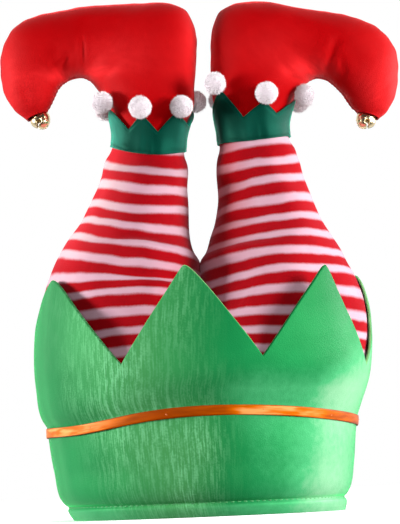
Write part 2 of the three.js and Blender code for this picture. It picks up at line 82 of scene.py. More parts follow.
# Rings carried along a smooth path: the cubic through all rings, by the mean distance from ring to ring.
def alongRings(rings, count):
    steps = np.linalg.norm(np.diff(rings[..., :3], axis=0), axis=2).mean(1)
    knots = np.concatenate([[0], np.cumsum(steps)])
    at = np.linspace(0, knots[-1], count)
    return cubicAt(knots, rings, at), at


# Half ellipses back to back between two edge points, deepest some way across. The last column is the
# share across.
def ovalRings(row, count):
    turn = np.linspace(0, 2 * np.pi, count, endpoint=False)
    across, back = np.cos(turn), np.sin(turn)
    row = {key: value[:, None] for key, value in row.items()}
    share = np.where(
        across < 0, row["deepest"] * (1 + across), row["deepest"] + (1 - row["deepest"]) * across
    )
    x = row["fromX"] + (row["toX"] - row["fromX"]) * share
    z = row["fromZ"] + (row["toZ"] - row["fromZ"]) * share
    return np.stack([x, row["y"] + row["depth"] * back, z, share], -1)


# Vectors made one long.
def unit(vectors):
    return vectors / np.maximum(np.linalg.norm(vectors, axis=-1, keepdims=True), 1e-9)


# Outward normals of a grid whose rows are closed rings.
def ringNormals(points):
    across = np.roll(points, -1, 1) - np.roll(points, 1, 1)
    normals = unit(np.cross(across, np.gradient(points, axis=0)))
    outwards = points - points.mean(1, keepdims=True)
    return normals * np.sign((normals * outwards).sum(-1).mean())


# Angles round the hat in degrees from the front, or from another place.
def degreesFrom(angle, start=0.0):
    return (np.degrees(angle) - start + 180) % 360 - 180


# Directions out of the hat at angles from the front, and on round it.
def outward(angle):
    return np.stack([np.sin(angle), -np.cos(angle), 0 * angle], -1)


def onward(angle):
    return np.stack([np.cos(angle), np.sin(angle), 0 * angle], -1)


# A turn about the line from front to back, clockwise as seen from the front.
def rolled(degrees):
    turn = np.radians(degrees)
    return np.array([[np.cos(turn), 0, np.sin(turn)], [0, 1, 0], [-np.sin(turn), 0, np.cos(turn)]])


# Soft unevenness from -1 to 1: plane sine waves of about one length in seeded directions, added up.
def unevenness(points, waveLength, seed, waves=9):
    random = np.random.default_rng(seed)
    ways = random.normal(size=(waves, 3))
    ways *= 2 * np.pi / waveLength / np.linalg.norm(ways, axis=1, keepdims=True)
    ways *= random.uniform(0.7, 1.4, (waves, 1))
    return np.sin(points @ ways.T + random.uniform(0, 7, waves)).mean(-1) * 1.6


# A dip along a line: a bell curve of the distance from it.
def dip(distance, width):
    return np.exp(-((distance / width) ** 2))


# Rises smoothly from 0 at low to 1 at high.
def ease(low, high, at):
    t = np.clip((at - low) / (high - low), 0, 1)
    return t * t * (3 - 2 * t)


# Row and column of the four corners of each quad in a grid.
def quadCorners(rows, cols):
    i, j = np.meshgrid(np.arange(rows), np.arange(cols), indexing="ij")
    return (i, j), (i, j + 1), (i + 1, j + 1), (i + 1, j)


# The same quads by point numbers. A closed row or column runs back into its start.
def quadNumbers(quadRows, quadCols, rows, cols):
    corners = quadCorners(quadRows, quadCols)
    return np.stack([(a % rows) * cols + b % cols for a, b in corners], -1).reshape(-1, 4)


# A tube of rings: its walls, and a face over each end.
def tubeFaces(rows, cols):
    ring = np.arange(cols)
    return quadNumbers(rows - 1, cols, rows, cols), np.stack([ring[::-1], (rows - 1) * cols + ring])


# Turns every face outwards if the closed surface has its inside out.
def facingOut(vertices, faces):
    fans = [part[:, [0, k, k + 1]] for part in faces for k in range(1, part.shape[1] - 1)]
    a, b, c = vertices[np.concatenate(fans)].transpose(1, 0, 2)
    insideOut = (a * np.cross(b, c)).sum() < 0
    return [part[:, ::-1] for part in faces] if insideOut else faces


# A mesh object from arrays of faces with equal corner counts, and its own values for each point.
def meshObject(name, vertices, faces, material, cornerUv=None, values=None):
    mesh = bpy.data.meshes.new(name)
    mesh.from_pydata(vertices * mm, [], [f for part in faces for f in part.tolist()])
    mesh.polygons.foreach_set("use_smooth", np.ones(len(mesh.polygons), bool))
    if cornerUv is not None:
        layer = mesh.uv_layers.new(name="cloth")
        layer.uv.foreach_set("vector", cornerUv.astype(np.float32).ravel())
    for key, value in (values or {}).items():
        layer = mesh.attributes.new(key, "FLOAT", "POINT")
        layer.data.foreach_set("value", value.astype(np.float32).ravel())
    mesh.materials.append(material)
    mesh.update()
    made = bpy.data.objects.new(name, mesh)
    scene.collection.objects.link(made)
    return made


# Quads over a grid of points whose rows are closed rings. The rows close to a loop too, or both end rings
# are fanned to a middle point. uv has one row and one column more than there are quads.
def gridObject(name, points, uv, material, loops=False, values=None):
    rows, cols = points.shape[:2]
    quadRows = rows if loops else rows - 1
    faces = [quadNumbers(quadRows, cols, rows, cols)]
    faceUvs = [np.stack([uv[a, b] for a, b in quadCorners(quadRows, cols)], 2).reshape(-1, 4, 2)]
    vertices = points.reshape(-1, 3)
    values = values or {}
    if not loops:
        ring = np.arange(cols)
        for row, hub in ((0, rows * cols), (rows - 1, rows * cols + 1)):
            fan = np.stack([ring + row * cols, (ring + 1) % cols + row * cols, np.full(cols, hub)], -1)
            faces.append(fan if row else fan[:, ::-1])
            fanUv = np.stack([uv[row, ring], uv[row, ring + 1], uv[row, ring]], 1)
            faceUvs.append(fanUv if row else fanUv[:, ::-1])
        vertices = np.concatenate([vertices, points[[0, -1]].mean(1)])
        values = {key: np.append(value, value[[0, -1]].mean(1)) for key, value in values.items()}
    turned = facingOut(vertices, faces)
    if turned is not faces:
        faceUvs = [part[:, ::-1] for part in faceUvs]
    cornerUv = np.concatenate([part.reshape(-1, 2) for part in faceUvs])
    return meshObject(name, vertices, turned, material, cornerUv, values)


# Distance round each ring, with the column that closes it.
def aroundRings(points):
    steps = np.linalg.norm(np.roll(points, -1, 1) - points, axis=-1)
    return np.concatenate([np.zeros((len(points), 1)), np.cumsum(steps, 1)], 1)


def wrapColumn(grid):
    return np.concatenate([grid, grid[:, :1]], 1)


# The uv of a loop of rings, from its angles, its mean radius and its heights.
def loopUv(angle, radius, height):
    around = np.append(angle, angle[0] + 2 * np.pi) * radius * mm
    uv = np.stack(np.broadcast_arrays(around, wrapColumn(height) * mm), -1)
    return np.concatenate([uv, uv[:1]])


# Materials

def addNode(tree, kind, **settings):
    made = tree.nodes.new("ShaderNode" + kind)
    for key, value in settings.items():
        setattr(made, key, value)
    return made


def link(tree, source, target):
    tree.links.new(source, target)


def setInputs(made, **values):
    for key, value in values.items():
        made.inputs[key.replace("_", " ")].default_value = value


# sRGB 0-255 as the linear colour that shaders take.
def paint(red, green, blue):
    value = np.array([red, green, blue]) / 255
    linear = np.where(value <= 0.04045, value / 12.92, ((value + 0.055) / 1.055) ** 2.4)
    return (*linear.tolist(), 1.0)


# Sets each socket to its plain value, or links the socket given for it.
def feed(tree, sockets, values):
    for socket, value in zip(sockets, values):
        if isinstance(value, (int, float, tuple)):
            socket.default_value = value
        else:
            link(tree, value, socket)


def mathNode(tree, operation, *values):
    made = addNode(tree, "Math", operation=operation)
    feed(tree, made.inputs, values)
    return made.outputs[0]


def product(tree, first, second):
    return mathNode(tree, "MULTIPLY", first, second)


# A value times a factor, and something added.
def scaled(tree, value, factor, plus=0.0):
    return mathNode(tree, "MULTIPLY_ADD", value, factor, plus)


# Blends two colours, each a socket or a fixed colour, by a factor.
def blendColors(tree, factor, first, second):
    made = addNode(tree, "Mix", data_type="RGBA")
    feed(tree, (made.inputs[0], made.inputs[6], made.inputs[7]), (factor, first, second))
    return made.outputs[2]


# Colours over a base colour: each layer covers what is under it by its factor.
def layered(tree, color, *layers):
    for factor, over in layers:
        color = blendColors(tree, factor, color, over)
    return color


def softStep(tree, value, low, high):
    made = addNode(tree, "MapRange", interpolation_type="SMOOTHSTEP")
    setInputs(made, From_Min=low, From_Max=high)
    link(tree, value, made.inputs["Value"])
    return made.outputs["Result"]


def noiseNode(tree, vector, size, detail=2.0, roughness=0.5):
    made = addNode(tree, "TexNoise")
    setInputs(made, Scale=1 / size, Detail=detail, Roughness=roughness)
    link(tree, vector, made.inputs["Vector"])
    return made.outputs["Fac"]


# A vector with its axes scaled, so that what is drawn on it stretches.
def stretched(tree, vector, scale):
    made = addNode(tree, "Mapping")
    made.inputs["Scale"].default_value = scale
    link(tree, vector, made.inputs["Vector"])
    return made.outputs["Vector"]


def attribute(tree, name):
    return addNode(tree, "Attribute", attribute_name=name).outputs["Fac"]


# A node group on a vector and some scales, which gives plain numbers.
def newGroup(name, scales, outputs):
    tree = bpy.data.node_groups.new(name, "ShaderNodeTree")
    tree.interface.new_socket("Vector", in_out="INPUT", socket_type="NodeSocketVector")
    for title, value in scales.items():
        socket = tree.interface.new_socket(title, in_out="INPUT", socket_type="NodeSocketFloat")
        socket.default_value = value
    for title in outputs:
        tree.interface.new_socket(title, in_out="OUTPUT", socket_type="NodeSocketFloat")
    start, end = tree.nodes.new("NodeGroupInput"), tree.nodes.new("NodeGroupOutput")
    return tree, start.outputs, end.inputs


# A texture in a group, on the group's vector and one of its scales.
def groupTexture(tree, source, scale, kind, values, **settings):
    made = addNode(tree, kind, **settings)
    setInputs(made, **values)
    link(tree, source["Vector"], made.inputs["Vector"])
    link(tree, source[scale], made.inputs["Scale"])
    return made.outputs["Fac"]


def useGroup(tree, group, vector, **values):
    made = addNode(tree, "Group")
    made.node_tree = group
    link(tree, vector, made.inputs["Vector"])
    setInputs(made, **values)
    return made.outputs


# Cut pile: broad patches where the nap lies another way, and the fine tufts themselves.
def makeNapGroup():
    scales = {"Patch Scale": 30.0, "Pile Scale": 1200.0}
    tree, source, target = newGroup("cut pile nap", scales, ("Patch", "Pile"))
    for title, detail in (("Patch", 3.0), ("Pile", 2.0)):
        values = {"Detail": detail, "Roughness": 0.6}
        noise = groupTexture(tree, source, f"{title} Scale", "TexNoise", values)
        link(tree, softStep(tree, noise, 0.28, 0.72), target[title])
    return tree


# Threads that cross: the higher of two rows of round threads at right angles, and a slow slub.
def makeWeaveGroup():
    scales = {"Warp Scale": 300.0, "Weft Scale": 300.0, "Slub Scale": 60.0}
    tree, source, target = newGroup("crossed threads", scales, ("Threads", "Slub"))
    values = {"Distortion": 0.6, "Detail": 1.0}
    warp = groupTexture(tree, source, "Warp Scale", "TexWave", values, bands_direction="X")
    weft = groupTexture(tree, source, "Weft Scale", "TexWave", values, bands_direction="Y")
    link(tree, mathNode(tree, "MAXIMUM", warp, weft), target["Threads"])
    slub = groupTexture(tree, source, "Slub Scale", "TexNoise", {"Detail": 2.0})
    link(tree, slub, target["Slub"])
    return tree


napGroup = makeNapGroup()
weaveGroup = makeWeaveGroup()


def newMaterial(name, **sockets):
    material = bpy.data.materials.new(name)
    material.use_nodes = True
    tree = material.node_tree
    shader = tree.nodes["Principled BSDF"]
    setInputs(shader, **sockets)
    return material, tree, shader


# Velvet: light that grazes the pile comes back in its sheen's colour.
def newVelvet(name, look, **sockets):
    sheen = look["sheen"]
    return newMaterial(name, Specular_IOR_Level=0.25, Specular_Tint=sheen, Sheen_Tint=sheen, **sockets)


# The place on the object as a vector, and the cloth's own uv.
def placeOn(tree):
    return addNode(tree, "TexCoord").outputs["Object"]


def clothOn(tree):
    return addNode(tree, "UVMap", uv_map="cloth").outputs["UV"]


def bumpInto(tree, shader, height, strength, depth, under=None):
    made = addNode(tree, "Bump")
    setInputs(made, Strength=strength, Distance=depth * mm)
    link(tree, height, made.inputs["Height"])
    if under is not None:
        link(tree, under, made.inputs["Normal"])
    link(tree, made.outputs["Normal"], shader.inputs["Normal"])
    return made.outputs["Normal"]


shoeVelvet = {
    "pile": paint(170, 0, 4),
    "shade": paint(142, 0, 3),
    # a painted highlight colour
    "paintedLight": paint(226, 40, 43),
    # painted shade for the seam groove and the turned-in toe
    "groove": paint(78, 0, 2),
    "sheen": paint(255, 64, 66),
}


def makeShoeVelvet(look):
    material, tree, shader = newVelvet(
        "red velvet", look, Roughness=0.6, Sheen_Weight=1.0, Sheen_Roughness=0.25,
    )
    nap = useGroup(tree, napGroup, placeOn(tree), Patch_Scale=30.0, Pile_Scale=1500.0)
    ribs = useGroup(tree, weaveGroup, clothOn(tree), Warp_Scale=260.0, Weft_Scale=230.0, Slub_Scale=130.0)
    tufts = scaled(tree, nap["Pile"], 0.3, scaled(tree, nap["Patch"], 0.4))
    # painted highlight where the shoe's edges catch light, broken up by the slub
    lifted = product(tree, attribute(tree, "paintedLight"), scaled(tree, ribs["Slub"], 0.8, 0.4))
    color = layered(
        tree, look["pile"],
        (tufts, look["shade"]),
        (lifted, look["paintedLight"]),
        (attribute(tree, "seam"), look["groove"]),
    )
    link(tree, color, shader.inputs["Base Color"])
    first = bumpInto(tree, shader, ribs["Threads"], 0.2, 0.15)
    bumpInto(tree, shader, nap["Pile"], 0.3, 0.35, first)
    return material


bandVelvet = {
    "pile": paint(24, 126, 68),
    "shade": paint(16, 104, 55),
    # painted shade, then two painted highlight colours laid one over the other
    "paintedShade": paint(8, 60, 30),
    "light": paint(64, 156, 100),
    "paintedLight": paint(136, 186, 146),
    "shimmer": paint(74, 143, 82),
    "glint": paint(112, 184, 132),
    # the cut edge's painted highlight colour
    "cutEdgeLightShade": paint(150, 196, 128),
    "sheen": paint(50, 255, 124),
    "thread": 1.15,  # width of the crinkled threads
    "pitch": 1.7,  # from rib to rib
    "stretch": 0.14,  # their width by their length
}


def makeBandVelvet(look):
    material, tree, shader = newVelvet(
        "green shimmer velvet", look, Sheen_Weight=0.8, Sheen_Roughness=0.3,
    )
    place = placeOn(tree)
    nap = useGroup(tree, napGroup, place, Patch_Scale=22.0, Pile_Scale=1300.0)
    drawn = stretched(tree, clothOn(tree), (1.0, look["stretch"], 1.0))
    streak = noiseNode(tree, drawn, 2 * look["thread"] * mm, 2.0, 0.6)
    ribs = addNode(tree, "TexWave", bands_direction="X")
    pitch = math.pi / 10 / (look["pitch"] * mm)
    setInputs(ribs, Scale=pitch, Distortion=5.0, Detail=2.0, Detail_Scale=1.2)
    link(tree, drawn, ribs.inputs["Vector"])
    grain = scaled(tree, noiseNode(tree, place, 1.3 * mm), 0.4, streak)
    crinkled = softStep(tree, scaled(tree, ribs.outputs["Fac"], 0.09, grain), 0.62, 0.96)
    ruffle = attribute(tree, "ruffle")
    ruffled = product(tree, product(tree, crinkled, ruffle), scaled(tree, nap["Patch"], 0.9, 0.35))
    # the painted highlight ends in a ragged line
    ragged = scaled(tree, noiseNode(tree, place, 5 * mm, 4.0, 0.65), 0.28, -0.14)
    paintedLight = softStep(tree, mathNode(tree, "ADD", attribute(tree, "paintedLight"), ragged), 0.12, 0.95)
    # painted highlight and painted shade from the band's table, and the cut edge's painted highlight, over
    # the pile
    color = layered(
        tree, look["pile"],
        (scaled(tree, nap["Patch"], 0.5), look["shade"]),
        (attribute(tree, "paintedShade"), look["paintedShade"]),
        (scaled(tree, paintedLight, 2.0), look["light"]),
        (scaled(tree, paintedLight, 2.0, -1.0), look["paintedLight"]),
        (scaled(tree, ruffle, 0.8), look["shimmer"]),
        (scaled(tree, ruffled, 0.95), look["glint"]),
        (attribute(tree, "edge"), look["cutEdgeLightShade"]),
    )
    link(tree, color, shader.inputs["Base Color"])
    link(tree, scaled(tree, ruffle, 0.14, 0.42), shader.inputs["Roughness"])
    first = bumpInto(tree, shader, ruffled, 0.5, 0.35)
    bumpInto(tree, shader, nap["Pile"], 0.25, 0.3, first)
    return material


bandInsideShade = {"thread": paint(9, 24, 15), "shade": paint(4, 12, 8)}


# Dull cloth on the inside of the band, painted near black for the shade that falls inside it.
def makeBandInsideShade(look):
    material, tree, shader = newMaterial("lining in painted shade", Roughness=0.95, Specular_IOR_Level=0.1)
    weave = useGroup(tree, weaveGroup, clothOn(tree), Warp_Scale=700.0, Weft_Scale=650.0, Slub_Scale=120.0)
    color = blendColors(tree, weave["Threads"], look["shade"], look["thread"])
    link(tree, color, shader.inputs["Base Color"])
    bumpInto(tree, shader, weave["Threads"], 0.3, 0.15)
    return material


legJersey = {
    "red": paint(154, 4, 15),
    "redShade": paint(134, 1, 10),
    "white": paint(196, 156, 170),
    "whiteShade": paint(182, 140, 154),
    # painted light for the lit side, then painted shade with red bounce light
    "redPale": paint(188, 32, 40),
    "whitePale": paint(214, 180, 184),
    "redBounceShade": paint(146, 0, 8),
    "whiteBounceShade": paint(182, 112, 120),  # painted shade with painted red bounce light, on white beside the other leg
    "lining": paint(214, 204, 202),
    "sheen": paint(255, 150, 170),
    "redShare": 0.6,  # this and the next three are shares of one red and one white stripe
    "blur": 0.19,
    "wobble": 0.06,
    "fuzz": 0.05,
}


def makeLegJersey(look):
    material, tree, shader = newMaterial(
        "striped jersey", Roughness=0.9, Specular_IOR_Level=0.05, Sheen_Weight=0.15, Sheen_Roughness=0.4,
        Sheen_Tint=look["sheen"],
    )
    place, cloth = placeOn(tree), clothOn(tree)
    parts = addNode(tree, "SeparateXYZ")
    link(tree, cloth, parts.inputs["Vector"])
    half = look["redShare"] / 2
    uneven = noiseNode(tree, place, 14 * mm, 1.0)
    wobble = scaled(tree, uneven, 2 * look["wobble"], -look["wobble"] - half)
    fromRed = mathNode(tree, "PINGPONG", mathNode(tree, "ADD", parts.outputs["Y"], wobble), 0.5)
    fuzzy = scaled(tree, noiseNode(tree, place, 1.2 * mm), look["fuzz"], fromRed)
    border = half + look["fuzz"] / 2
    pale = softStep(tree, fuzzy, border - look["blur"] / 2, border + look["blur"] / 2)
    nap = useGroup(tree, napGroup, place, Patch_Scale=40.0, Pile_Scale=900.0)
    patch = scaled(tree, nap["Patch"], 0.6)
    stripes = []
    for key in ("red", "white"):
        # each stripe colour with its painted light and its painted shade
        stripes.append(layered(
            tree, look[key],
            (patch, look[key + "Shade"]),
            (attribute(tree, "litPaint"), look[key + "Pale"]),
            (attribute(tree, "bounceShade"), look[key + "BounceShade"]),
        ))
    color = layered(tree, stripes[0], (pale, stripes[1]), (attribute(tree, "lining"), look["lining"]))
    link(tree, color, shader.inputs["Base Color"])
    knit = useGroup(tree, weaveGroup, cloth, Warp_Scale=330.0, Weft_Scale=3.5, Slub_Scale=50.0)
    first = bumpInto(tree, shader, knit["Threads"], 0.25, 0.2)
    bumpInto(tree, shader, nap["Pile"], 0.15, 0.2, first)
    return material


collarVelvet = {
    "pile": paint(2, 44, 35),
    "shade": paint(1, 30, 23),
    "stitch": paint(2, 30, 22),
    # a painted highlight colour
    "pale": paint(56, 146, 124),
    "sheen": paint(26, 255, 205),
}


def makeCollarVelvet(look):
    material, tree, shader = newVelvet("dark green velvet", look, Sheen_Weight=1.0, Sheen_Roughness=0.25)
    weave = useGroup(tree, weaveGroup, clothOn(tree), Warp_Scale=520.0, Weft_Scale=420.0, Slub_Scale=90.0)
    nap = useGroup(tree, napGroup, placeOn(tree), Patch_Scale=45.0, Pile_Scale=1500.0)
    # painted highlight on the lit sides, broken up by the slub
    turned = product(tree, attribute(tree, "pale"), scaled(tree, weave["Slub"], 1.2, 0.3))
    color = layered(
        tree, look["pile"],
        (scaled(tree, nap["Patch"], 0.7), look["shade"]),
        (turned, look["pale"]),
        (attribute(tree, "sewn"), look["stitch"]),
    )
    link(tree, color, shader.inputs["Base Color"])
    link(tree, scaled(tree, weave["Slub"], 0.2, 0.42), shader.inputs["Roughness"])
    first = bumpInto(tree, shader, weave["Threads"], 0.2, 0.12)
    bumpInto(tree, shader, nap["Pile"], 0.2, 0.25, first)
    return material


ribbonSatin = {
    "thread": paint(154, 60, 0),
    "shade": paint(130, 48, 0),
    # painted highlight colours, bright and then gloss; gloss also tints the shader's specular
    "bright": paint(204, 96, 0),
    "gloss": paint(224, 150, 82),
    "edge": paint(124, 46, 0),
}


def makeRibbonSatin(look):
    material, tree, shader = newMaterial(
        "orange satin", Specular_IOR_Level=0.2, Specular_Tint=look["gloss"], Anisotropic=0.5,
    )
    cloth = clothOn(tree)
    weave = useGroup(tree, weaveGroup, cloth, Warp_Scale=600.0, Weft_Scale=500.0, Slub_Scale=70.0)
    drawn = stretched(tree, cloth, (0.06, 1.0, 1.0))
    streak = softStep(tree, noiseNode(tree, drawn, 1.5 * mm), 0.3, 0.7)
    # painted highlight along the ribbon, broken into streaks
    paintedSheen = product(tree, attribute(tree, "paintedSheen"), scaled(tree, streak, 0.9, 0.35))
    color = layered(
        tree, look["shade"],
        (streak, look["thread"]),
        (scaled(tree, paintedSheen, 2.0), look["bright"]),
        (scaled(tree, paintedSheen, 2.0, -1.0), look["gloss"]),
        (attribute(tree, "selvage"), look["edge"]),
    )
    link(tree, color, shader.inputs["Base Color"])
    link(tree, scaled(tree, weave["Slub"], 0.2, 0.3), shader.inputs["Roughness"])
    bumpInto(tree, shader, weave["Threads"], 0.25, 0.1)
    return material


# the root colour is painted shade deep among the strands
pompomYarn = {"tip": paint(253, 249, 251), "root": paint(240, 228, 234)}


def makePompomYarn(look):
    material, tree, shader = newMaterial(
        "white yarn", Roughness=0.95, Specular_IOR_Level=0.15, Sheen_Weight=0.3, Sheen_Roughness=0.6,
    )
    nap = useGroup(tree, napGroup, placeOn(tree), Patch_Scale=240.0, Pile_Scale=1800.0)
    depth = scaled(tree, nap["Patch"], 0.3, attribute(tree, "root"))
    link(tree, blendColors(tree, depth, look["tip"], look["root"]), shader.inputs["Base Color"])
    bumpInto(tree, shader, nap["Pile"], 0.3, 0.3)
    return material


bellBrass = {"metal": paint(238, 218, 174), "tarnish": paint(154, 124, 74)}


def makeBellBrass(look):
    material, tree, shader = newMaterial("bell brass", Metallic=1.0)
    place = placeOn(tree)
    stain = softStep(tree, noiseNode(tree, place, 4 * mm, 4.0, 0.65), 0.45, 0.8)
    color = blendColors(tree, scaled(tree, stain, 0.7), look["metal"], look["tarnish"])
    link(tree, color, shader.inputs["Base Color"])
    link(tree, scaled(tree, stain, 0.2, 0.22), shader.inputs["Roughness"])
    bumpInto(tree, shader, noiseNode(tree, place, 0.9 * mm), 0.06, 0.1)
    return material


# Sewing thread: one twisted strand, lighter where it stands out.
def makeThread(name, color, shade):
    material, tree, shader = newMaterial(name, Roughness=0.6, Sheen_Weight=0.3)
    twist = useGroup(tree, weaveGroup, placeOn(tree), Warp_Scale=900.0, Weft_Scale=900.0, Slub_Scale=300.0)
    link(tree, blendColors(tree, twist["Threads"], shade, color), shader.inputs["Base Color"])
    bumpInto(tree, shader, twist["Threads"], 0.3, 0.1)
    return material


redVelvet = makeShoeVelvet(shoeVelvet)
greenVelvet = makeBandVelvet(bandVelvet)
insideShadeLining = makeBandInsideShade(bandInsideShade)
stripedJersey = makeLegJersey(legJersey)
collarGreen = makeCollarVelvet(collarVelvet)
orangeSatin = makeRibbonSatin(ribbonSatin)
whiteYarn = makePompomYarn(pompomYarn)
brass = makeBellBrass(bellBrass)
greenThread = makeThread("green thread", paint(60, 150, 85), paint(30, 96, 50))
orangeThread = makeThread("orange thread", paint(232, 120, 30), paint(150, 62, 4))
print("materials made:", len(bpy.data.materials))


# Head band and its ribbon

ribbon = {
    "width": 6.6,
    "thick": 0.7,
    "middle": 60.1,
    "standOff": 0.35,
    "crown": 0.35,  # how far its face swells between the edges
    "tilt": 9.0,  # degrees that the face rolls up and down on its way round
    "rolls": 2.0,
    "rollStart": 0.4,
    "section": 20,  # points round its section, and sections round the hat
    "round": 360,
    "selvage": (0.8, 0.97),  # its edges darken between these shares of half the width
    # painted highlight along the satin, by degrees from the front
    "paintedSheen": columns("angle amount", [
        (-180, 0.4), (-130, 0.8), (-95, 0.6), (-66, 0.9), (-44, 0.9), (-36, 0.6), (-29, 0.3),
        (-22, 0.12), (-14, 0.0), (2, 0.08), (8, 0.2), (14, 1.0), (36, 1.0), (42, 0.8), (50, 0.4),
        (80, 0.1), (125, 0.7), (180, 0.4),
    ]),
}

band = {
    "cut": {"flat": (0.17, 0.74), "area": 0.095},  # the flat strip, in metres
    "wall": 2.4,
    "rise": 7.0,  # how much higher the ribbon runs over the brow and the nape
    "droop": 4.0,  # how far it hangs lower beside the brow
    "droopAt": -45.0,
    "droopSpan": 26.0,
    "steps": 26,  # columns from a tip to a valley
    "tipRound": 0.06,
    "hemEnd": 14.0,  # up to here the rows lie close
    "outerRows": (22, 46, 30),  # in the hem, up the wall and up the points
    "innerRows": (22, 16),
    "rimTurns": (25, 60, 90, 120, 155),  # degrees over the rounded cut edge
    "sway": 0.9,  # soft unevenness of the cloth
    "swayFrom": (2.0, 30.0),  # it sets in between these heights
    "waves": ((1.0, 75, 0.6, 3), (0.35, 26, 0.5, 4)),  # share, wave length, squeeze of the heights, seed
    "hemPaintedLightBelow": (9.0, 6.0),  # below these heights the painted light and shade follow the hem column
    "rows": columns("z radius shift follows", [
        (0.0, 93.0, -0.5, 0), (3.5, 94.9, -1.2, 0), (7.3, 95.6, -2.0, 0), (8.8, 94.5, -2.3, 0),
        (10.6, 96.5, -2.6, 0), (34.0, 103.4, -2.8, 0), (56.0, 106.2, -3.2, 1), (63.6, 107.0, -3.0, 1),
        (69.0, 109.6, -3.6, 1), (92.0, 116.0, -1.2, 0), (112.0, 117.6, -0.4, 0),
    ]),
    "upper": columns("z radius shift", [
        (69.0, 109.6, -3.6), (92.0, 116.0, -1.2), (112.0, 117.6, -0.4), (130.0, 117.2, 0.5),
        (146.0, 116.2, 2.0), (160.0, 114.4, 3.2), (172.0, 112.0, 4.6),
    ]),
    "napHeights": (20.0, 45.0, 80.0, 105.0, 145.0),  # of the columns low to tip in the next tables
    # where the pile is crinkled into upright threads, by degrees from the front
    "ruffle": columns("angle low waist middle high tip", [
        (-180, 0.3, 0.3, 0.3, 0.3, 0.3), (-120, 0.25, 0.25, 0.25, 0.25, 0.25),
        (-75, 0.0, 0.0, 0.0, 0.0, 0.0), (-55, 0.05, 0.05, 0.1, 0.1, 0.2),
        (-42, 0.15, 0.15, 0.35, 0.45, 0.4), (-30, 0.4, 0.6, 0.8, 0.8, 0.6),
        (-20, 0.7, 0.95, 0.9, 0.9, 0.7), (-8, 1.0, 1.0, 0.5, 0.45, 0.5), (0, 0.5, 0.9, 0.3, 0.15, 0.15),
        (8, 0.1, 0.15, 0.1, 0.0, 0.0), (18, 0.0, 0.0, 0.0, 0.0, 0.0), (80, 0.0, 0.0, 0.0, 0.0, 0.0),
        (140, 0.3, 0.3, 0.3, 0.3, 0.3), (180, 0.3, 0.3, 0.3, 0.3, 0.3),
    ]),
    # painted light: a painted highlight where the band is lit above zero, and painted shade below zero
    "paintedLight": columns("angle hem low waist middle high tip", [
        (-180, 0.4, 0.15, 0.15, 0.15, 0.15, 0.15), (-125, 0.5, 0.3, 0.3, 0.3, 0.3, 0.3),
        (-85, 0.45, 0.1, 0.1, 0.0, 0.0, 0.0), (-65, 0.5, 0.1, 0.05, -0.2, -0.25, -0.35),
        (-50, 0.45, 0.05, -0.05, -0.45, -0.5, -0.45), (-40, 0.5, 0.0, -0.15, -0.35, -0.5, -0.4),
        (-30, 0.4, 0.0, -0.1, 0.0, -0.2, -0.2), (-15, 0.5, 0.0, 0.0, 0.1, 0.0, -0.1),
        (0, 0.5, -0.15, -0.1, 0.05, -0.2, -0.2), (8, 0.45, -0.1, 0.0, 0.35, -0.1, -0.15),
        (18, 0.45, 0.25, 0.3, 0.52, 0.0, -0.2), (30, 0.5, 0.35, 0.35, 0.5, -0.1, -0.35),
        (40, 0.6, 0.58, 0.5, 0.5, -0.1, -0.42), (50, 0.7, 0.75, 0.64, 0.75, 0.1, -0.42),
        (60, 0.7, 0.75, 0.66, 0.85, 0.4, -0.3), (75, 0.7, 0.6, 0.6, 0.8, 0.7, 0.0),
        (95, 0.6, 0.5, 0.5, 0.5, 0.5, 0.4), (130, 0.4, 0.1, 0.1, 0.1, 0.1, 0.1),
        (180, 0.4, 0.15, 0.15, 0.15, 0.15, 0.15),
    ]),
    # the cut edge along the points: painted highlight where light catches it, painted shade below zero
    # where it lies in shade
    "cutEdgeLightShade": columns("angle pale", [
        (-180, 0.5), (-71, 0.5), (-64, -0.9), (-30, -0.9), (-25, 0.0), (-9, 0.0), (-5, 0.9), (18, 0.9),
        (20.5, -0.8), (42, -0.8), (45, 0.9), (71, 0.9), (74, 0.5), (180, 0.5),
    ]),
    "points": columns("tip tipZ valley valleyZ fall rise", [
        (-66.0, 160.0, -26.6, 97.5, 1.35, 0.88), (-6.8, 158.5, 19.3, 99.0, 1.08, 1.05),
        (43.5, 158.5, 71.5, 95.0, 0.72, 1.1), (107.0, 164.0, 136.0, 99.0, 1.1, 1.1),
        (165.0, 159.0, 197.0, 98.0, 1.1, 1.1), (229.0, 160.0, 262.0, 99.0, 1.1, 1.1),
    ]),
}


# Angles and heights of a zigzag edge: from each tip to the valley after it and up to the next tip, with
# rounded tips and bowed slopes. The columns crowd towards the tips.
def zigzag(points, steps, tipRound, crowd=1.25):
    near = (np.arange(steps) / steps) ** crowd
    far = 1 - (1 - np.arange(steps) / steps) ** crowd
    names = ("tip", "tipZ", "valley", "valleyZ", "fall", "rise")
    tip, tipZ, valley, valleyZ, fall, rise = (points[name][:, None] for name in names)
    nextTip, nextZ = np.roll(tip, -1), np.roll(tipZ, -1)
    nextTip[-1] += 360

    def drop(share, bow):
        return ((np.hypot(share, tipRound) - tipRound) / (np.hypot(1, tipRound) - tipRound)) ** bow

    angles = [tip + (valley - tip) * near, valley + (nextTip - valley) * far]
    downhill = tipZ + (valleyZ - tipZ) * drop(near, fall)
    uphill = nextZ + (valleyZ - nextZ) * drop(1 - far, rise)
    return np.radians(np.concatenate(angles, 1).ravel()), np.concatenate([downhill, uphill], 1).ravel()


# How much higher the ribbon runs than at the sides: up over brow and nape, with a droop beside the brow.
def ribbonRise(angle):
    droop = band["droop"] * dip(degreesFrom(angle, band["droopAt"]), band["droopSpan"])
    return band["rise"] * np.cos(angle) ** 2 - droop


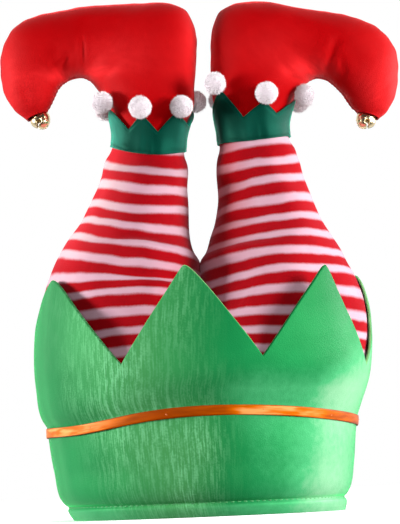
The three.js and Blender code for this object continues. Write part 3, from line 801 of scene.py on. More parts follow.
bandAngle, bandEdge = zigzag(band["points"], band["steps"], band["tipRound"])
bandTable = beside(band["rows"], "z radius shift follows")
bandKnots = np.concatenate([[0], np.cumsum(np.hypot(*np.diff(bandTable[:, :2], axis=0).T))])
upperTable = beside(band["upper"], "radius shift")


# Places at a height on the band, moved outwards by a stand-off: a circle round the band's shifted middle.
def onBand(angle, radius, shift, z, standOff=0.0):
    reach = radius + standOff
    return np.stack(np.broadcast_arrays(shift + reach * np.sin(angle), -reach * np.cos(angle), z), -1)


# One wall of the band, from the hem to the zigzag edge: the table's cubic below, then each point at its
# own height.
def bandWall(below, levels, standOff):
    z, radius, shift, follows = cubicAt(bandKnots, bandTable, below).T[..., None]
    lower = onBand(bandAngle, radius, shift, z + follows * ribbonRise(bandAngle), standOff)
    start = band["rows"]["z"][-2]
    z = start + levels[:, None] * (bandEdge - start)
    radius, shift = np.moveaxis(cubicAt(band["upper"]["z"], upperTable, z), -1, 0)
    return np.concatenate([lower, onBand(bandAngle, radius, shift, z, standOff)])


# How the nap lies: the table's columns at every angle, blended between the two nearest heights.
def napOnBand(table, angle, z):
    names = ("low", "waist", "middle", "high", "tip")
    byAngle = np.stack([readOff(table, name, angle) for name in names])
    level = np.interp(z, band["napHeights"], np.arange(len(byAngle)))
    below = np.minimum(level.astype(int), len(byAngle) - 2)
    column = np.arange(len(angle))
    return byAngle[below, column] * (1 - level + below) + byAngle[below + 1, column] * (level - below)


def makeBand():
    wall, top = band["wall"], bandKnots[-2]
    hemRows, wallRows, pointRows = band["outerRows"]
    hem = np.linspace(0, band["hemEnd"], hemRows)
    outerRows = np.concatenate([hem, np.linspace(band["hemEnd"] + 1, top, wallRows)])
    innerRows = np.linspace(0, top, band["innerRows"][0])
    outer = bandWall(outerRows, np.linspace(0, 1, pointRows)[1:], 0.0)
    inner = bandWall(innerRows, np.linspace(0, 1, band["innerRows"][1])[1:], -wall)
    rim = []
    for turn in np.radians(band["rimTurns"]):
        edge = bandWall(innerRows[:1], np.array([1.0]), -wall / 2 * (1 - np.cos(turn)))[-1]
        rim.append(edge + [0, 0, wall / 2 * np.sin(turn)])
    points = np.concatenate([outer, np.array(rim), inner[::-1]])
    loose = ease(*band["swayFrom"], points[..., 2])
    sway = sum(
        share * unevenness(points * [1, 1, squeeze], length, seed)
        for share, length, squeeze, seed in band["waves"]
    )
    points = points + (band["sway"] * sway * loose)[..., None] * outward(bandAngle)
    rows = np.arange(len(points))
    edge = np.isin(rows, len(outer) + np.arange(1, 4))[:, None]
    inside = (rows >= len(outer) + len(rim) - 1) & (rows < len(points) - 1)
    uv = loopUv(bandAngle, np.mean(band["rows"]["radius"]), points[..., 2])
    angle, z = degreesFrom(bandAngle), points[..., 2]
    # painted highlight and painted shade round the band, with the hem's own column low down
    turnedUp = ease(*band["hemPaintedLightBelow"], z)
    paintedLight = napOnBand(band["paintedLight"], angle, z) * (1 - turnedUp)
    paintedLight = paintedLight + readOff(band["paintedLight"], "hem", angle) * turnedUp
    # the cut edge's painted highlight, and its painted shade below zero
    cutEdgeLightShade = edge * readOff(band["cutEdgeLightShade"], "pale", angle)
    values = {
        "paintedLight": paintedLight * ~edge,
        "paintedShade": np.maximum(np.maximum(0, -paintedLight), -cutEdgeLightShade),
        "edge": np.maximum(0, cutEdgeLightShade),
        "ruffle": napOnBand(band["ruffle"], angle, z),
    }
    piece = gridObject("hat_band", points, uv, greenVelvet, True, values)
    # the inside faces take the cloth painted near black as shade
    piece.data.materials.append(insideShadeLining)
    piece.data.polygons.foreach_set("material_index", np.repeat(inside.astype(np.int32), len(bandAngle)))
    return piece


hatBand = makeBand()
print("band:", len(hatBand.data.polygons), "faces")


# A sine or cosine made fuller, for a squared-off oval.
def fuller(wave, power):
    return np.sign(wave) * np.abs(wave) ** power


# A flat loop with rounded edges: a squared-off oval carried round the band, rolled a little as it goes.
def makeRibbon():
    width = ribbon["width"]
    turn = np.linspace(0, 2 * np.pi, ribbon["section"], endpoint=False)
    flat = fuller(np.cos(turn), 0.45) * width / 2
    thick = fuller(np.sin(turn), 0.7) * ribbon["thick"] / 2
    thick = thick + ribbon["crown"] * (1 - (2 * flat / width) ** 2) * (thick > 0)
    angle = np.linspace(-np.pi, np.pi, ribbon["round"], endpoint=False)[:, None]
    roll = np.radians(ribbon["tilt"]) * np.sin(ribbon["rolls"] * angle + ribbon["rollStart"])
    rise = ribbon["middle"] + ribbonRise(angle) + flat * np.cos(roll) - thick * np.sin(roll)
    row = cubicAt(band["rows"]["z"], bandTable, ribbon["middle"] + flat)
    lifted = np.maximum(0, flat * np.sin(roll))
    out = ribbon["standOff"] + ribbon["thick"] / 2 + thick * np.cos(roll) + lifted
    points = onBand(angle, row[..., 1], row[..., 2], rise, out)
    around = np.append(angle, np.pi) * np.mean(row[..., 1]) * mm
    across = np.append(turn, 2 * np.pi) * width / np.pi * mm
    uv = np.stack(np.broadcast_arrays(around[:, None], across), -1)
    edge = np.broadcast_to(ease(*ribbon["selvage"], np.abs(2 * flat / width)), points.shape[:2])
    # painted highlight along the ribbon, strongest in the middle of its width
    paintedSheen = readOff(ribbon["paintedSheen"], "amount", np.degrees(angle))
    paintedSheenStreaks = paintedSheen * (1 - 0.5 * (flat / width + 0.1 * np.sin(7 * angle)) ** 2)
    return gridObject("hat_ribbon", points, uv, orangeSatin, True, {"selvage": edge, "paintedSheen": paintedSheenStreaks})


hatRibbon = makeRibbon()


stitch = {"along": 7, "round": 6, "sag": 0.6, "blunt": 0.02}
hemStitch = {"z": 8.9, "pitch": 4.2, "length": 3.0, "thick": 0.7, "radius": 94.5, "standOff": 0.15}
tackStitch = {
    "angles": (-172, -140, -108, -75, -42.5, -12, 21.5, 52, 84, 115, 148),
    "length": 1.8,
    "thick": 0.7,
    "standOff": 0.05,
    "wander": 0.6,  # how far the stitches lie off the ribbon's middle
    "slant": 0.5,
}


# Stitches: short spindles along a line, each sunk a little into the cloth at both ends.
def makeStitches(name, middles, ways, ups, look, material):
    along = np.linspace(-1, 1, stitch["along"])[:, None, None]
    turn = np.linspace(0, 2 * np.pi, stitch["round"], endpoint=False)[:, None]
    middles, ways, ups = (part[:, None, None] for part in (middles, ways, ups))
    width = look["thick"] / 2 * np.sqrt(np.maximum(stitch["blunt"], 1 - along**4))
    ring = np.cos(turn) * np.cross(ways, ups) + np.sin(turn) * ups
    sag = -stitch["sag"] * look["thick"] * along**2 * ups
    points = middles + look["length"] / 2 * along * ways + sag + width * ring
    count, rows, cols = points.shape[:3]
    offsets = (np.arange(count) * rows * cols)[:, None, None]
    faces = [(part + offsets).reshape(-1, part.shape[1]) for part in tubeFaces(rows, cols)]
    vertices = points.reshape(-1, 3)
    return meshObject(name, vertices, facingOut(vertices, faces), material)


# Stitches round the band at a height of its table, each at its own place and slant.
def sewRound(name, look, angle, level, z, standOff, slant, material):
    row = cubicAt(band["rows"]["z"], bandTable, np.full(len(angle), level))
    middles = onBand(angle, row[:, 1], row[:, 2], z, standOff)
    ways = unit(onward(angle) + slant[:, None] * [0, 0, 1])
    return makeStitches(name, middles, ways, outward(angle), look, material)


def makeHemStitches(look):
    count = int(2 * np.pi * look["radius"] / look["pitch"])
    angle = np.arange(count) / count * 2 * np.pi
    z = look["z"]
    return sewRound("hem_stitches", look, angle, z, z, look["standOff"], 0 * angle, greenThread)


def makeTackStitches(look):
    angle = np.radians(look["angles"])
    z = ribbon["middle"] + ribbonRise(angle) + look["wander"] * np.sin(5 * angle)
    standOff = ribbon["standOff"] + ribbon["thick"] + ribbon["crown"] + look["standOff"]
    slant = look["slant"] * np.sin(9 * angle)
    return sewRound("ribbon_stitches", look, angle, ribbon["middle"], z, standOff, slant, orangeThread)


hemStitches = makeHemStitches(hemStitch)
tackStitches = makeTackStitches(tackStitch)
print("ribbon and stitches made")


# Ankles: where each collar's lower edge is centred, its tilt, and the stuffed ankle inside it

ankles = {
    "left": {
        "place": (-33.1, 3.0, 257.5), "pitch": 10.0, "roll": 6.0, "dip": 3.5,
        "profile": columns("height left right depth", [
            (-9, 29.2, 28.2, 29.0), (-3, 26.4, 25.8, 26.0), (2, 25.0, 25.0, 24.6), (12, 25.2, 25.0, 24.4),
            (20, 26.8, 25.8, 25.0), (31, 31.4, 29.8, 26.4), (40, 36.0, 31.0, 27.0),
        ]),
    },
    "right": {
        "place": (41.6, 1.0, 260.0), "pitch": 5.0, "roll": -4.0, "dip": 2.0,
        "profile": columns("height left right depth", [
            (-9, 26.6, 28.4, 28.4), (-3, 24.8, 25.4, 25.6), (2, 24.2, 24.2, 24.0), (12, 24.0, 25.0, 24.0),
            (20, 24.0, 27.4, 24.6), (31, 25.4, 34.4, 26.0), (40, 26.0, 38.0, 26.6),
        ]),
    },
}
seamHeight = 6.0  # where leg and shoe meet, over the collar's lower edge
seamGap = 0.15  # half the gap between them


# From an ankle's own frame to the hat's: rolled, then pitched, then moved.
def fromAnkle(side, points):
    pitch = np.radians(ankles[side]["pitch"])
    tip = np.array([[1, 0, 0], [0, np.cos(pitch), -np.sin(pitch)], [0, np.sin(pitch), np.cos(pitch)]])
    return points @ (tip @ rolled(ankles[side]["roll"])).T + np.array(ankles[side]["place"])


# Places on the ankle at angles from the front and heights: an oval with unlike halves left and right.
def onAnkle(side, angle, height, standOff=0.0):
    profile = ankles[side]["profile"]
    table = beside(profile, "left right depth")
    left, right, depth = np.moveaxis(cubicAt(profile["height"], table, height), -1, 0)
    out = np.sin(angle)
    x = (np.where(out < 0, left, right) + standOff) * out
    return np.stack(np.broadcast_arrays(x, -(depth + standOff) * np.cos(angle), height), -1)


def ankleRings(side, heights, count):
    turn = np.linspace(0, 2 * np.pi, count, endpoint=False)
    level = np.array(heights, float)[:, None] + 0 * turn
    rings = fromAnkle(side, onAnkle(side, turn + np.pi / 2, level))
    share = np.broadcast_to((1 + np.cos(turn)) / 2, rings.shape[:2])
    return np.concatenate([rings, share[..., None]], -1)


# The two edges of a leg or shoe from left to right, as ovalRings takes them.
def leftToRight(row, names):
    pairs = tuple(zip(("from", "to"), names))
    return {f"{end}{axis}": row[f"{name}{axis}"] for end, name in pairs for axis in "XZ"}


# Stuffing: the sewn covers of legs and shoes are blown up from inside by cloth simulation

stuffing = {
    "pressure": 4.0,
    "frames": 16,
    "stiffness": 15.0,
    "bending": 0.15,
    "smoothing": 70,  # rounds that leave only the general swelling
    "softening": 4,  # rounds that take the sharpness off the wrinkles
    "fading": 8,  # rounds that let the wrinkles fade in beside a held row
}
covers = []


# A cover to be stuffed: its grid, which rows are held, how much too large the cloth is cut, and how far a
# point may move.
def addCover(piece, shape, heldRows, extra, most):
    covers.append({"piece": piece, "shape": shape, "held": heldRows, "extra": extra, "most": most})


def pointsOf(mesh):
    values = np.empty(3 * len(mesh.vertices))
    mesh.vertices.foreach_get("co", values)
    return values.reshape(-1, 3)


# Each point becomes a mean of itself and its neighbours, round the ring and along the rings, many times.
def smoothed(grid, times):
    for _ in range(times):
        grid = (2 * grid + np.roll(grid, 1, 1) + np.roll(grid, -1, 1)) / 4
        ends = np.concatenate([grid[:1], grid, grid[-1:]])
        grid = (ends[:-2] + 2 * ends[1:-1] + ends[2:]) / 4
    return grid


def addCloth(cover):
    piece = cover["piece"]
    rows, cols = cover["shape"]
    held = piece.vertex_groups.new(name="held")
    fixed = np.concatenate([np.flatnonzero(np.repeat(cover["held"], cols)), rows * cols + np.arange(2)])
    held.add(fixed.tolist(), 1.0, "REPLACE")
    cloth = piece.modifiers.new("stuffing", "CLOTH")
    cloth.collision_settings.use_collision = False
    how = cloth.settings
    how.tension_stiffness = how.compression_stiffness = how.shear_stiffness = stuffing["stiffness"]
    how.bending_stiffness = stuffing["bending"]
    how.use_pressure = True
    how.uniform_pressure_force = stuffing["pressure"]
    how.shrink_min = -cover["extra"]
    how.vertex_group_mass = "held"
    how.effector_weights.gravity = 0


# The simulation's wrinkles without its general swelling: each point's way less the smooth way of the
# cloth round it.
def stuffCovers():
    for cover in covers:
        addCloth(cover)
    for step in range(1, stuffing["frames"] + 1):
        scene.frame_set(step)
    graph = bpy.context.evaluated_depsgraph_get()
    swollen = [pointsOf(cover["piece"].evaluated_get(graph).data) for cover in covers]
    for cover, after in zip(covers, swollen):
        mesh = cover["piece"].data
        rows, cols = cover["shape"]
        flat = pointsOf(mesh)
        way = (after - flat)[:rows * cols].reshape(rows, cols, 3)
        wrinkles = smoothed(way, stuffing["softening"]) - smoothed(way, stuffing["smoothing"])
        size = np.maximum(np.linalg.norm(wrinkles, axis=-1, keepdims=True), 1e-9)
        wrinkles *= np.minimum(1, cover["most"] * mm / size)
        free = smoothed(np.repeat(1.0 - cover["held"], cols).reshape(rows, cols, 1), stuffing["fading"])
        flat[:rows * cols] += (wrinkles * free).reshape(-1, 3)
        cover["piece"].modifiers.clear()
        cover["piece"].vertex_groups.clear()
        mesh.vertices.foreach_set("co", flat.ravel())
        mesh.update()
        print("stuffed", mesh.name, "most %.2f mm" % (np.linalg.norm(wrinkles, axis=-1).max() / mm))
    scene.frame_set(1)


# Stuffed legs

legs = {
    "rings": 104,
    "round": 108,
    "extra": 0.02,  # share by which the cloth is cut too large
    "most": 1.3,  # how far the stuffing may move it
    "held": (8.0, 176.0),  # it is sewn fast before and after these lengths along the leg
    "foot": 90.0,
    "reach": 112.0,  # radius at which the domed ceiling of the head hollow meets the band
    "ceiling": (0.12, 0.3, 0.5, 0.68, 0.84, 0.94),  # shares of the way out from its middle
    "parting": 0.02,  # how far each leg stays on its own side of the middle
    "ankle": (-9, -3, 2),  # heights of the last rings, in the ankle's frame
    "front": (-2.0, -14.0),  # folds set in between these depths
    "lump": 0.8,  # height of the soft lumps, and their length
    "lumpLength": 48,
    "seed": 11,
    "lumpsIn": (60.0, 90.0),  # lengths along the leg between which they set in and end
    "lumpsOut": (182.0, 165.0),
    "foldEnd": 0.2,  # share of the leg over which a fold runs out
    "foldSwell": 0.45,  # how far the cloth beside a fold stands up
    "litPaintFrom": (70.0, 105.0),  # lengths between which the painted light goes from low to high
    "left": {
        "rows": columns("outX outZ inX inZ deepest depth lift", [
            (-113.0, 90.0, -0.3, 90.0, 1.0, 112.0, 26), (-112.4, 104.0, -0.3, 104.0, 0.97, 106.0, 18),
            (-112.6, 124.0, -0.3, 121.0, 0.86, 91.0, 9), (-111.8, 142.0, -0.3, 138.0, 0.74, 84.0, 3),
            (-108.5, 158.0, -0.4, 154.0, 0.66, 79.0, 0), (-101.0, 177.0, -0.3, 169.0, 0.6, 71.0, 0),
            (-97.0, 184.0, -0.4, 175.4, 0.58, 68.0, 0), (-91.9, 192.0, -4.0, 182.0, 0.55, 62.0, 0),
            (-82.5, 204.5, -6.6, 194.0, 0.52, 53.0, 0), (-74.0, 221.0, -7.2, 211.0, 0.5, 44.0, 0),
            (-67.6, 236.0, -7.0, 228.0, 0.5, 36.5, 0),
        ]),
        # where each red stripe begins along the leg: at its left edge, in the middle, at its right edge
        "stripes": columns("left middle right", [
            (193.0, 194.0, 193.0), (180.5, 177.8, 177.5), (161.5, 154.0, 159.5), (143.0, 138.0, 143.5),
            (127.9, 122.6, 131.0), (114.4, 108.6, 110.5), (102.0, 91.8, 90.4), (88.5, 77.0, 75.5),
            (69.4, 65.8, 69.0), (54.7, 56.0, 56.0), (40.1, 40.5, 40.4), (27.0, 27.3, 27.0),
            (12.5, 13.0, 12.5), (-1.0, 0.0, -1.0),
        ]),
        # painted light across the leg where it is lit, and painted shade with red bounce light below zero:
        # near the band, and higher
        "paintedLightAcross": columns("share low high", [
            (0.0, 0.2, 1.0), (0.12, 0.2, 1.0), (0.3, 0.0, 0.5), (0.45, 0.0, 0.0), (0.7, -0.1, 0.0),
            (0.85, -0.6, 0.1), (1.0, -0.7, 0.45),
        ]),
        # pinched folds on the front: how far along, from and to which share across, how deep and how wide
        "folds": columns("along slope start end depth width", [
            (72.0, -6.0, 0.45, 1.05, 3.4, 4.0), (103.0, 8.0, 0.12, 0.8, 1.3, 4.5),
            (30.0, 0.0, 0.1, 0.5, 1.0, 6.0),
        ]),
    },
    "right": {
        "rows": columns("outX outZ inX inZ deepest depth lift", [
            (111.3, 90.0, 0.3, 90.0, 1.0, 112.0, 26), (112.0, 104.0, 0.3, 104.0, 0.97, 106.0, 18),
            (113.0, 124.0, 0.3, 121.0, 0.86, 91.0, 9), (112.4, 142.0, 0.3, 138.0, 0.74, 84.0, 3),
            (108.0, 158.0, 0.4, 152.0, 0.66, 79.0, 0), (101.5, 171.0, 0.3, 166.0, 0.6, 72.0, 0),
            (98.2, 178.0, 0.4, 174.6, 0.58, 69.0, 0), (94.0, 186.0, 4.6, 180.0, 0.55, 63.0, 0),
            (87.0, 199.5, 9.0, 192.5, 0.52, 54.0, 0), (80.0, 216.5, 13.2, 207.5, 0.5, 45.0, 0),
            (75.0, 230.0, 14.6, 221.5, 0.5, 38.0, 0),
        ]),
        "stripes": columns("left middle right", [
            (188.0, 191.7, 192.5), (172.4, 174.3, 175.2), (158.0, 156.6, 158.1), (141.7, 140.8, 142.2),
            (126.4, 124.5, 125.4), (109.7, 110.7, 110.8), (94.6, 95.6, 95.9), (78.8, 80.8, 80.9),
            (64.5, 66.8, 66.8), (50.4, 52.4, 51.6), (36.6, 37.2, 36.4), (24.0, 23.4, 24.4),
            (11.0, 11.5, 11.3), (-2.0, -1.0, -2.0),
        ]),
        "paintedLightAcross": columns("share low high", [
            (0.0, 0.0, -1.0), (0.12, 0.0, -1.0), (0.28, 0.0, -0.45), (0.42, 0.0, 0.0), (0.7, 0.0, 0.0),
            (0.88, 0.0, 0.15), (1.0, 0.0, 0.25),
        ]),
        "folds": columns("along slope start end depth width", [
            (120.0, 3.0, -0.05, 0.6, 1.3, 4.5), (70.0, -2.0, -0.05, 0.3, 0.6, 6.0),
            (150.0, 2.0, 0.1, 0.7, 0.7, 5.0),
        ]),
    },
}


# Sections of a leg from the band up to the seam inside its collar, as rings with the share across.
def legRings(side):
    row = legs[side]["rows"]
    edges = leftToRight(row, ("out", "in") if side == "left" else ("in", "out"))
    deepest = row["deepest"] if side == "left" else 1 - row["deepest"]
    ovals = {**edges, "deepest": deepest, "depth": row["depth"], "y": 0 * deepest}
    rings = ovalRings(ovals, legs["round"])
    rings[..., 2] += row["lift"][:, None] * ceilingDome(rings)
    ankle = ankleRings(side, (*legs["ankle"], seamHeight - seamGap), legs["round"])
    return np.concatenate([rings, ankle])


# The ceiling of the head hollow: highest over the middle of the hat, level with the foot at the band.
def ceilingDome(points):
    return np.maximum(0, 1 - (points[..., 0] ** 2 + points[..., 1] ** 2) / legs["reach"] ** 2)


# Count of stripes above each place: each stripe's start lies on a bow through its three places across.
def stripePhase(stripes, along, share):
    starts = [
        left * (1 - share) * (1 - 2 * share) + 4 * middle * share * (1 - share)
        + right * share * (2 * share - 1)
        for left, middle, right in rowsOf(stripes)
    ]
    pairs = zip(starts[:-1], starts[1:])
    return sum(np.clip((high - along) / np.maximum(high - low, 1), 0, 1) for high, low in pairs)


def makeLeg(side):
    rings, along = alongRings(legRings(side), legs["rings"])
    points, share = rings[..., :3], rings[..., 3]
    along = along[:, None]
    normals = ringNormals(points)
    front = ease(*legs["front"], points[..., 1])
    lumps = unevenness(points, legs["lumpLength"], legs["seed"] + len(side))
    push = legs["lump"] * lumps * ease(*legs["lumpsIn"], along) * ease(*legs["lumpsOut"], along)
    for line, slope, start, end, depth, width in rowsOf(legs[side]["folds"]):
        away = along - line - slope * (share - 0.5)
        reach = ease(start, start + legs["foldEnd"], share) * ease(end, end - legs["foldEnd"], share)
        banks = dip(away - 2 * width, 1.5 * width) + dip(away + 2 * width, 1.5 * width)
        push = push + front * reach * depth * (legs["foldSwell"] * banks - dip(away, width))
    points = points + push[..., None] * normals
    ownSide = -1 if side == "left" else 1
    points[..., 0] = ownSide * np.maximum(ownSide * points[..., 0], legs["parting"])
    foot = points[0]
    middle = foot.mean(0)
    ceiling = middle + (foot - middle) * np.array(legs["ceiling"])[:, None, None]
    ceiling[..., 2] = legs["foot"] + legs["left"]["rows"]["lift"][0] * ceilingDome(ceiling)
    phase = stripePhase(legs[side]["stripes"], along, share)
    phase = np.concatenate([np.broadcast_to(phase[:1], ceiling.shape[:2]), phase])
    grid = np.concatenate([ceiling, points])
    lining = np.broadcast_to((np.arange(len(grid)) < len(ceiling))[:, None], grid.shape[:2]) * 1.0
    uv = np.stack([aroundRings(grid) * mm, wrapColumn(phase)], -1)
    # painted light and painted shade across the leg, from the low column near the band to the high one
    # further up
    low, high = (readOff(legs[side]["paintedLightAcross"], name, share) for name in ("low", "high"))
    litPaint = np.concatenate([0 * ceiling[..., 0], low + (high - low) * ease(*legs["litPaintFrom"], along)])
    values = {"lining": lining, "litPaint": np.maximum(0, litPaint), "bounceShade": np.maximum(0, -litPaint)}
    piece = gridObject(f"plush_leg_{side}", grid, uv, stripedJersey, False, values)
    length = np.concatenate([np.zeros(len(ceiling)), along[:, 0]])
    held = (length < legs["held"][0]) | (length > legs["held"][1])
    addCover(piece, grid.shape[:2], held, legs["extra"], legs["most"])
    return piece


plushLegs = {side: makeLeg(side) for side in sides}
print("legs:", [len(o.data.polygons) for o in plushLegs.values()], "faces")


# Curled shoes

shoes = {
    "rings": 168,
    "round": 88,
    "extra": 0.015,
    "most": 0.6,
    "held": (30.0, 6.0),  # lengths at the ankle and at the toe that are sewn fast
    "ankle": (12, 20, 31),  # heights of the first rings, in the ankle's frame
    "seamDepth": 0.8,
    "seamWidth": 1.3,
    "seamFrom": (34.0, 60.0),  # lengths between which the seam and the lumps set in
    "pucker": 0.35,  # height of the puckers beside the seam
    "puckerLength": 7.3,  # from one to the next
    "puckerAt": 4,  # how far they lie off the seam
    "puckerWidth": 2.6,
    "lump": 0.7,
    "lumpLength": 42,
    "seed": 21,
    "front": (-2, -9),  # creases set in between these depths before the middle plane
    "grooveShade": 0.55,
    # how the toe turns in round its bell: share of its last ring, how far inwards and how much painted
    # shade it gets
    "toe": columns("share inwards dark", [
        (1.0, -0.7, 0.1), (0.94, -0.4, 0.4), (0.9, 1.6, 0.8), (0.88, 4.5, 1.0), (0.6, 7.5, 1.0),
    ]),
    "left": {
        "rows": columns("soleX soleZ archX archZ depth", [
            (1.6, 303.0, -67.0, 301.0, 27.2), (3.4, 320.0, -71.5, 306.6, 28.0),
            (3.2, 340.0, -76.0, 309.0, 28.0), (-3.0, 355.6, -79.0, 309.8, 27.4),
            (-14.5, 360.6, -81.0, 309.9, 26.8), (-33.0, 361.4, -83.0, 309.8, 26.0),
            (-60.0, 361.4, -85.6, 309.4, 25.0), (-85.0, 359.6, -88.3, 308.5, 24.0),
            (-108.0, 356.1, -91.0, 306.8, 22.5), (-125.2, 347.2, -93.6, 304.2, 20.8),
            (-133.6, 332.0, -95.8, 300.6, 18.6), (-134.9, 314.0, -98.0, 296.6, 16.0),
            (-132.2, 297.8, -100.0, 292.6, 13.0), (-126.0, 287.8, -101.8, 289.3, 10.4),
            (-118.2, 281.4, -103.4, 286.6, 8.0),
        ]),
        # creases on the front, from one place to another, how deep and how wide
        "creases": columns("startX startZ endX endZ depth width", [
            (-75.6, 333.0, -75.0, 314.0, 0.8, 1.3), (-92.0, 312.0, -86.0, 320.0, 1.0, 2.2),
            (-60.0, 306.0, -48.0, 316.0, 0.9, 3.0),
        ]),
        # painted highlights on the velvet's edges, where light catches them
        "paintedLight": columns("x z wide high amount", [
            (-62.0, 318.0, 26.0, 12.0, 0.4), (-112.0, 300.0, 14.0, 18.0, 0.5),
            (-80.0, 309.0, 26.0, 4.0, 1.0), (4.0, 326.0, 8.0, 34.0, 1.0),
            (-128.0, 312.0, 8.0, 26.0, 0.5), (-34.0, 316.0, 26.0, 26.0, 0.2),
        ]),
    },
    "right": {
        "rows": columns("soleX soleZ archX archZ depth", [
            (13.6, 303.0, 78.0, 297.2, 26.4), (13.5, 320.0, 82.5, 300.8, 27.4),
            (15.2, 339.0, 86.6, 302.2, 27.4), (21.6, 353.6, 89.4, 302.7, 27.0),
            (31.5, 358.8, 91.2, 302.6, 26.6), (48.0, 359.4, 93.0, 302.1, 26.0),
            (73.2, 354.4, 95.6, 300.9, 25.0), (96.4, 349.9, 98.4, 298.9, 24.0),
            (115.6, 345.4, 101.4, 296.0, 22.5), (132.7, 337.0, 104.0, 292.8, 20.8),
            (143.6, 321.4, 106.6, 289.2, 18.6), (145.8, 304.0, 109.0, 285.4, 16.0),
            (142.8, 288.2, 111.4, 281.8, 13.0), (137.2, 278.4, 113.6, 279.3, 10.4),
            (130.4, 272.2, 115.6, 277.2, 8.0),
        ]),
        "creases": columns("startX startZ endX endZ depth width", [
            (101.0, 322.0, 94.0, 303.0, 1.6, 3.4), (104.0, 314.0, 106.0, 300.0, 0.7, 2.4),
            (70.0, 300.0, 60.0, 312.0, 0.8, 3.0),
        ]),
        "paintedLight": columns("x z wide high amount", [
            (54.0, 318.0, 24.0, 18.0, 0.28), (80.0, 304.0, 16.0, 8.0, 0.9),
            (128.0, 290.0, 14.0, 18.0, 0.7), (12.0, 322.0, 8.0, 32.0, 1.0),
            (142.0, 306.0, 7.0, 24.0, 0.5),
        ]),
    },
}


# How far back the middle plane of a shoe lies.
def shoeLean(side):
    return float(fromAnkle(side, np.array([0.0, 0.0, shoes["ankle"][-1]]))[1])


# Distance from a line between two places, seen from the front, and how far along it the nearest place is.
def fromLine(x, z, startX, startZ, endX, endZ):
    way = np.array([endX - startX, endZ - startZ])
    t = np.clip(((x - startX) * way[0] + (z - startZ) * way[1]) / (way @ way), 0, 1)
    return np.hypot(x - startX - t * way[0], z - startZ - t * way[1]), t


def makeShoe(side):
    row = shoes[side]["rows"]
    edges = leftToRight(row, ("arch", "sole") if side == "left" else ("sole", "arch"))
    half = np.full(len(row["depth"]), 0.5)
    lean = shoeLean(side)
    ovals = {**edges, "deepest": half, "depth": row["depth"], "y": 0 * half + lean}
    body = ovalRings(ovals, shoes["round"])
    foot = ankleRings(side, (seamHeight + seamGap, *shoes["ankle"]), shoes["round"])
    rings, along = alongRings(np.concatenate([foot, body]), shoes["rings"])
    points = rings[..., :3]
    normals = ringNormals(points)
    turn = np.arange(shoes["round"]) / shoes["round"]
    toSeam = np.minimum(turn % 0.5, 0.5 - turn % 0.5) * aroundRings(points)[:, -1:]
    past = ease(*shoes["seamFrom"], along)[:, None]
    groove = past * dip(toSeam, shoes["seamWidth"])
    ripple = 0.5 + 0.5 * np.sin(along[:, None] * 2 * np.pi / shoes["puckerLength"] + 2 * turn)
    puckers = shoes["pucker"] * past * ripple * dip(toSeam - shoes["puckerAt"], shoes["puckerWidth"])
    push = puckers - shoes["seamDepth"] * groove
    lumps = unevenness(points, shoes["lumpLength"], shoes["seed"] + len(side))
    push = push + shoes["lump"] * lumps * past
    front = ease(*(lean + depth for depth in shoes["front"]), points[..., 1])
    for startX, startZ, endX, endZ, depth, width in rowsOf(shoes[side]["creases"]):
        away, t = fromLine(points[..., 0], points[..., 2], startX, startZ, endX, endZ)
        reach = np.sin(np.pi * np.clip(t, 0.08, 0.96)) ** 0.5
        swell = 0.35 * dip(away - 2.2 * width, 1.4 * width)
        push = push + front * reach * depth * (swell - dip(away, width))
    points = points + push[..., None] * normals
    last = points[-1]
    middle = last.mean(0)
    inwards = unit(points[-6].mean(0) - middle)
    share, depth, dark = (column[:, None, None] for column in shoes["toe"].values())
    toe = middle + (last - middle) * share + inwards * depth
    grid = np.concatenate([points, toe])
    # painted shade in the seam groove and in the turned-in toe
    seam = np.concatenate([groove * shoes["grooveShade"], np.broadcast_to(dark[..., 0], toe.shape[:2])])
    length = np.concatenate([along, along[-1] + np.arange(1, len(toe) + 1)])
    uv = np.stack(np.broadcast_arrays(aroundRings(grid) * mm, length[:, None] * mm), -1)
    # painted highlight patches on the shoe's edges
    patch = sum(
        amount * dip(np.hypot((grid[..., 0] - x) / wide, (grid[..., 2] - z) / high), 1)
        for x, z, wide, high, amount in rowsOf(shoes[side]["paintedLight"])
    )
    values = {"seam": seam, "paintedLight": np.clip(patch, 0, 1)}
    piece = gridObject(f"curled_shoe_{side}", grid, uv, redVelvet, False, values)
    held = (length < shoes["held"][0]) | (length > along[-1] - shoes["held"][1])
    addCover(piece, grid.shape[:2], held, shoes["extra"], shoes["most"])
    return piece


curledShoes = {side: makeShoe(side) for side in sides}
print("shoes:", [len(o.data.polygons) for o in curledShoes.values()], "faces")
stuffCovers()


# Ankle collars

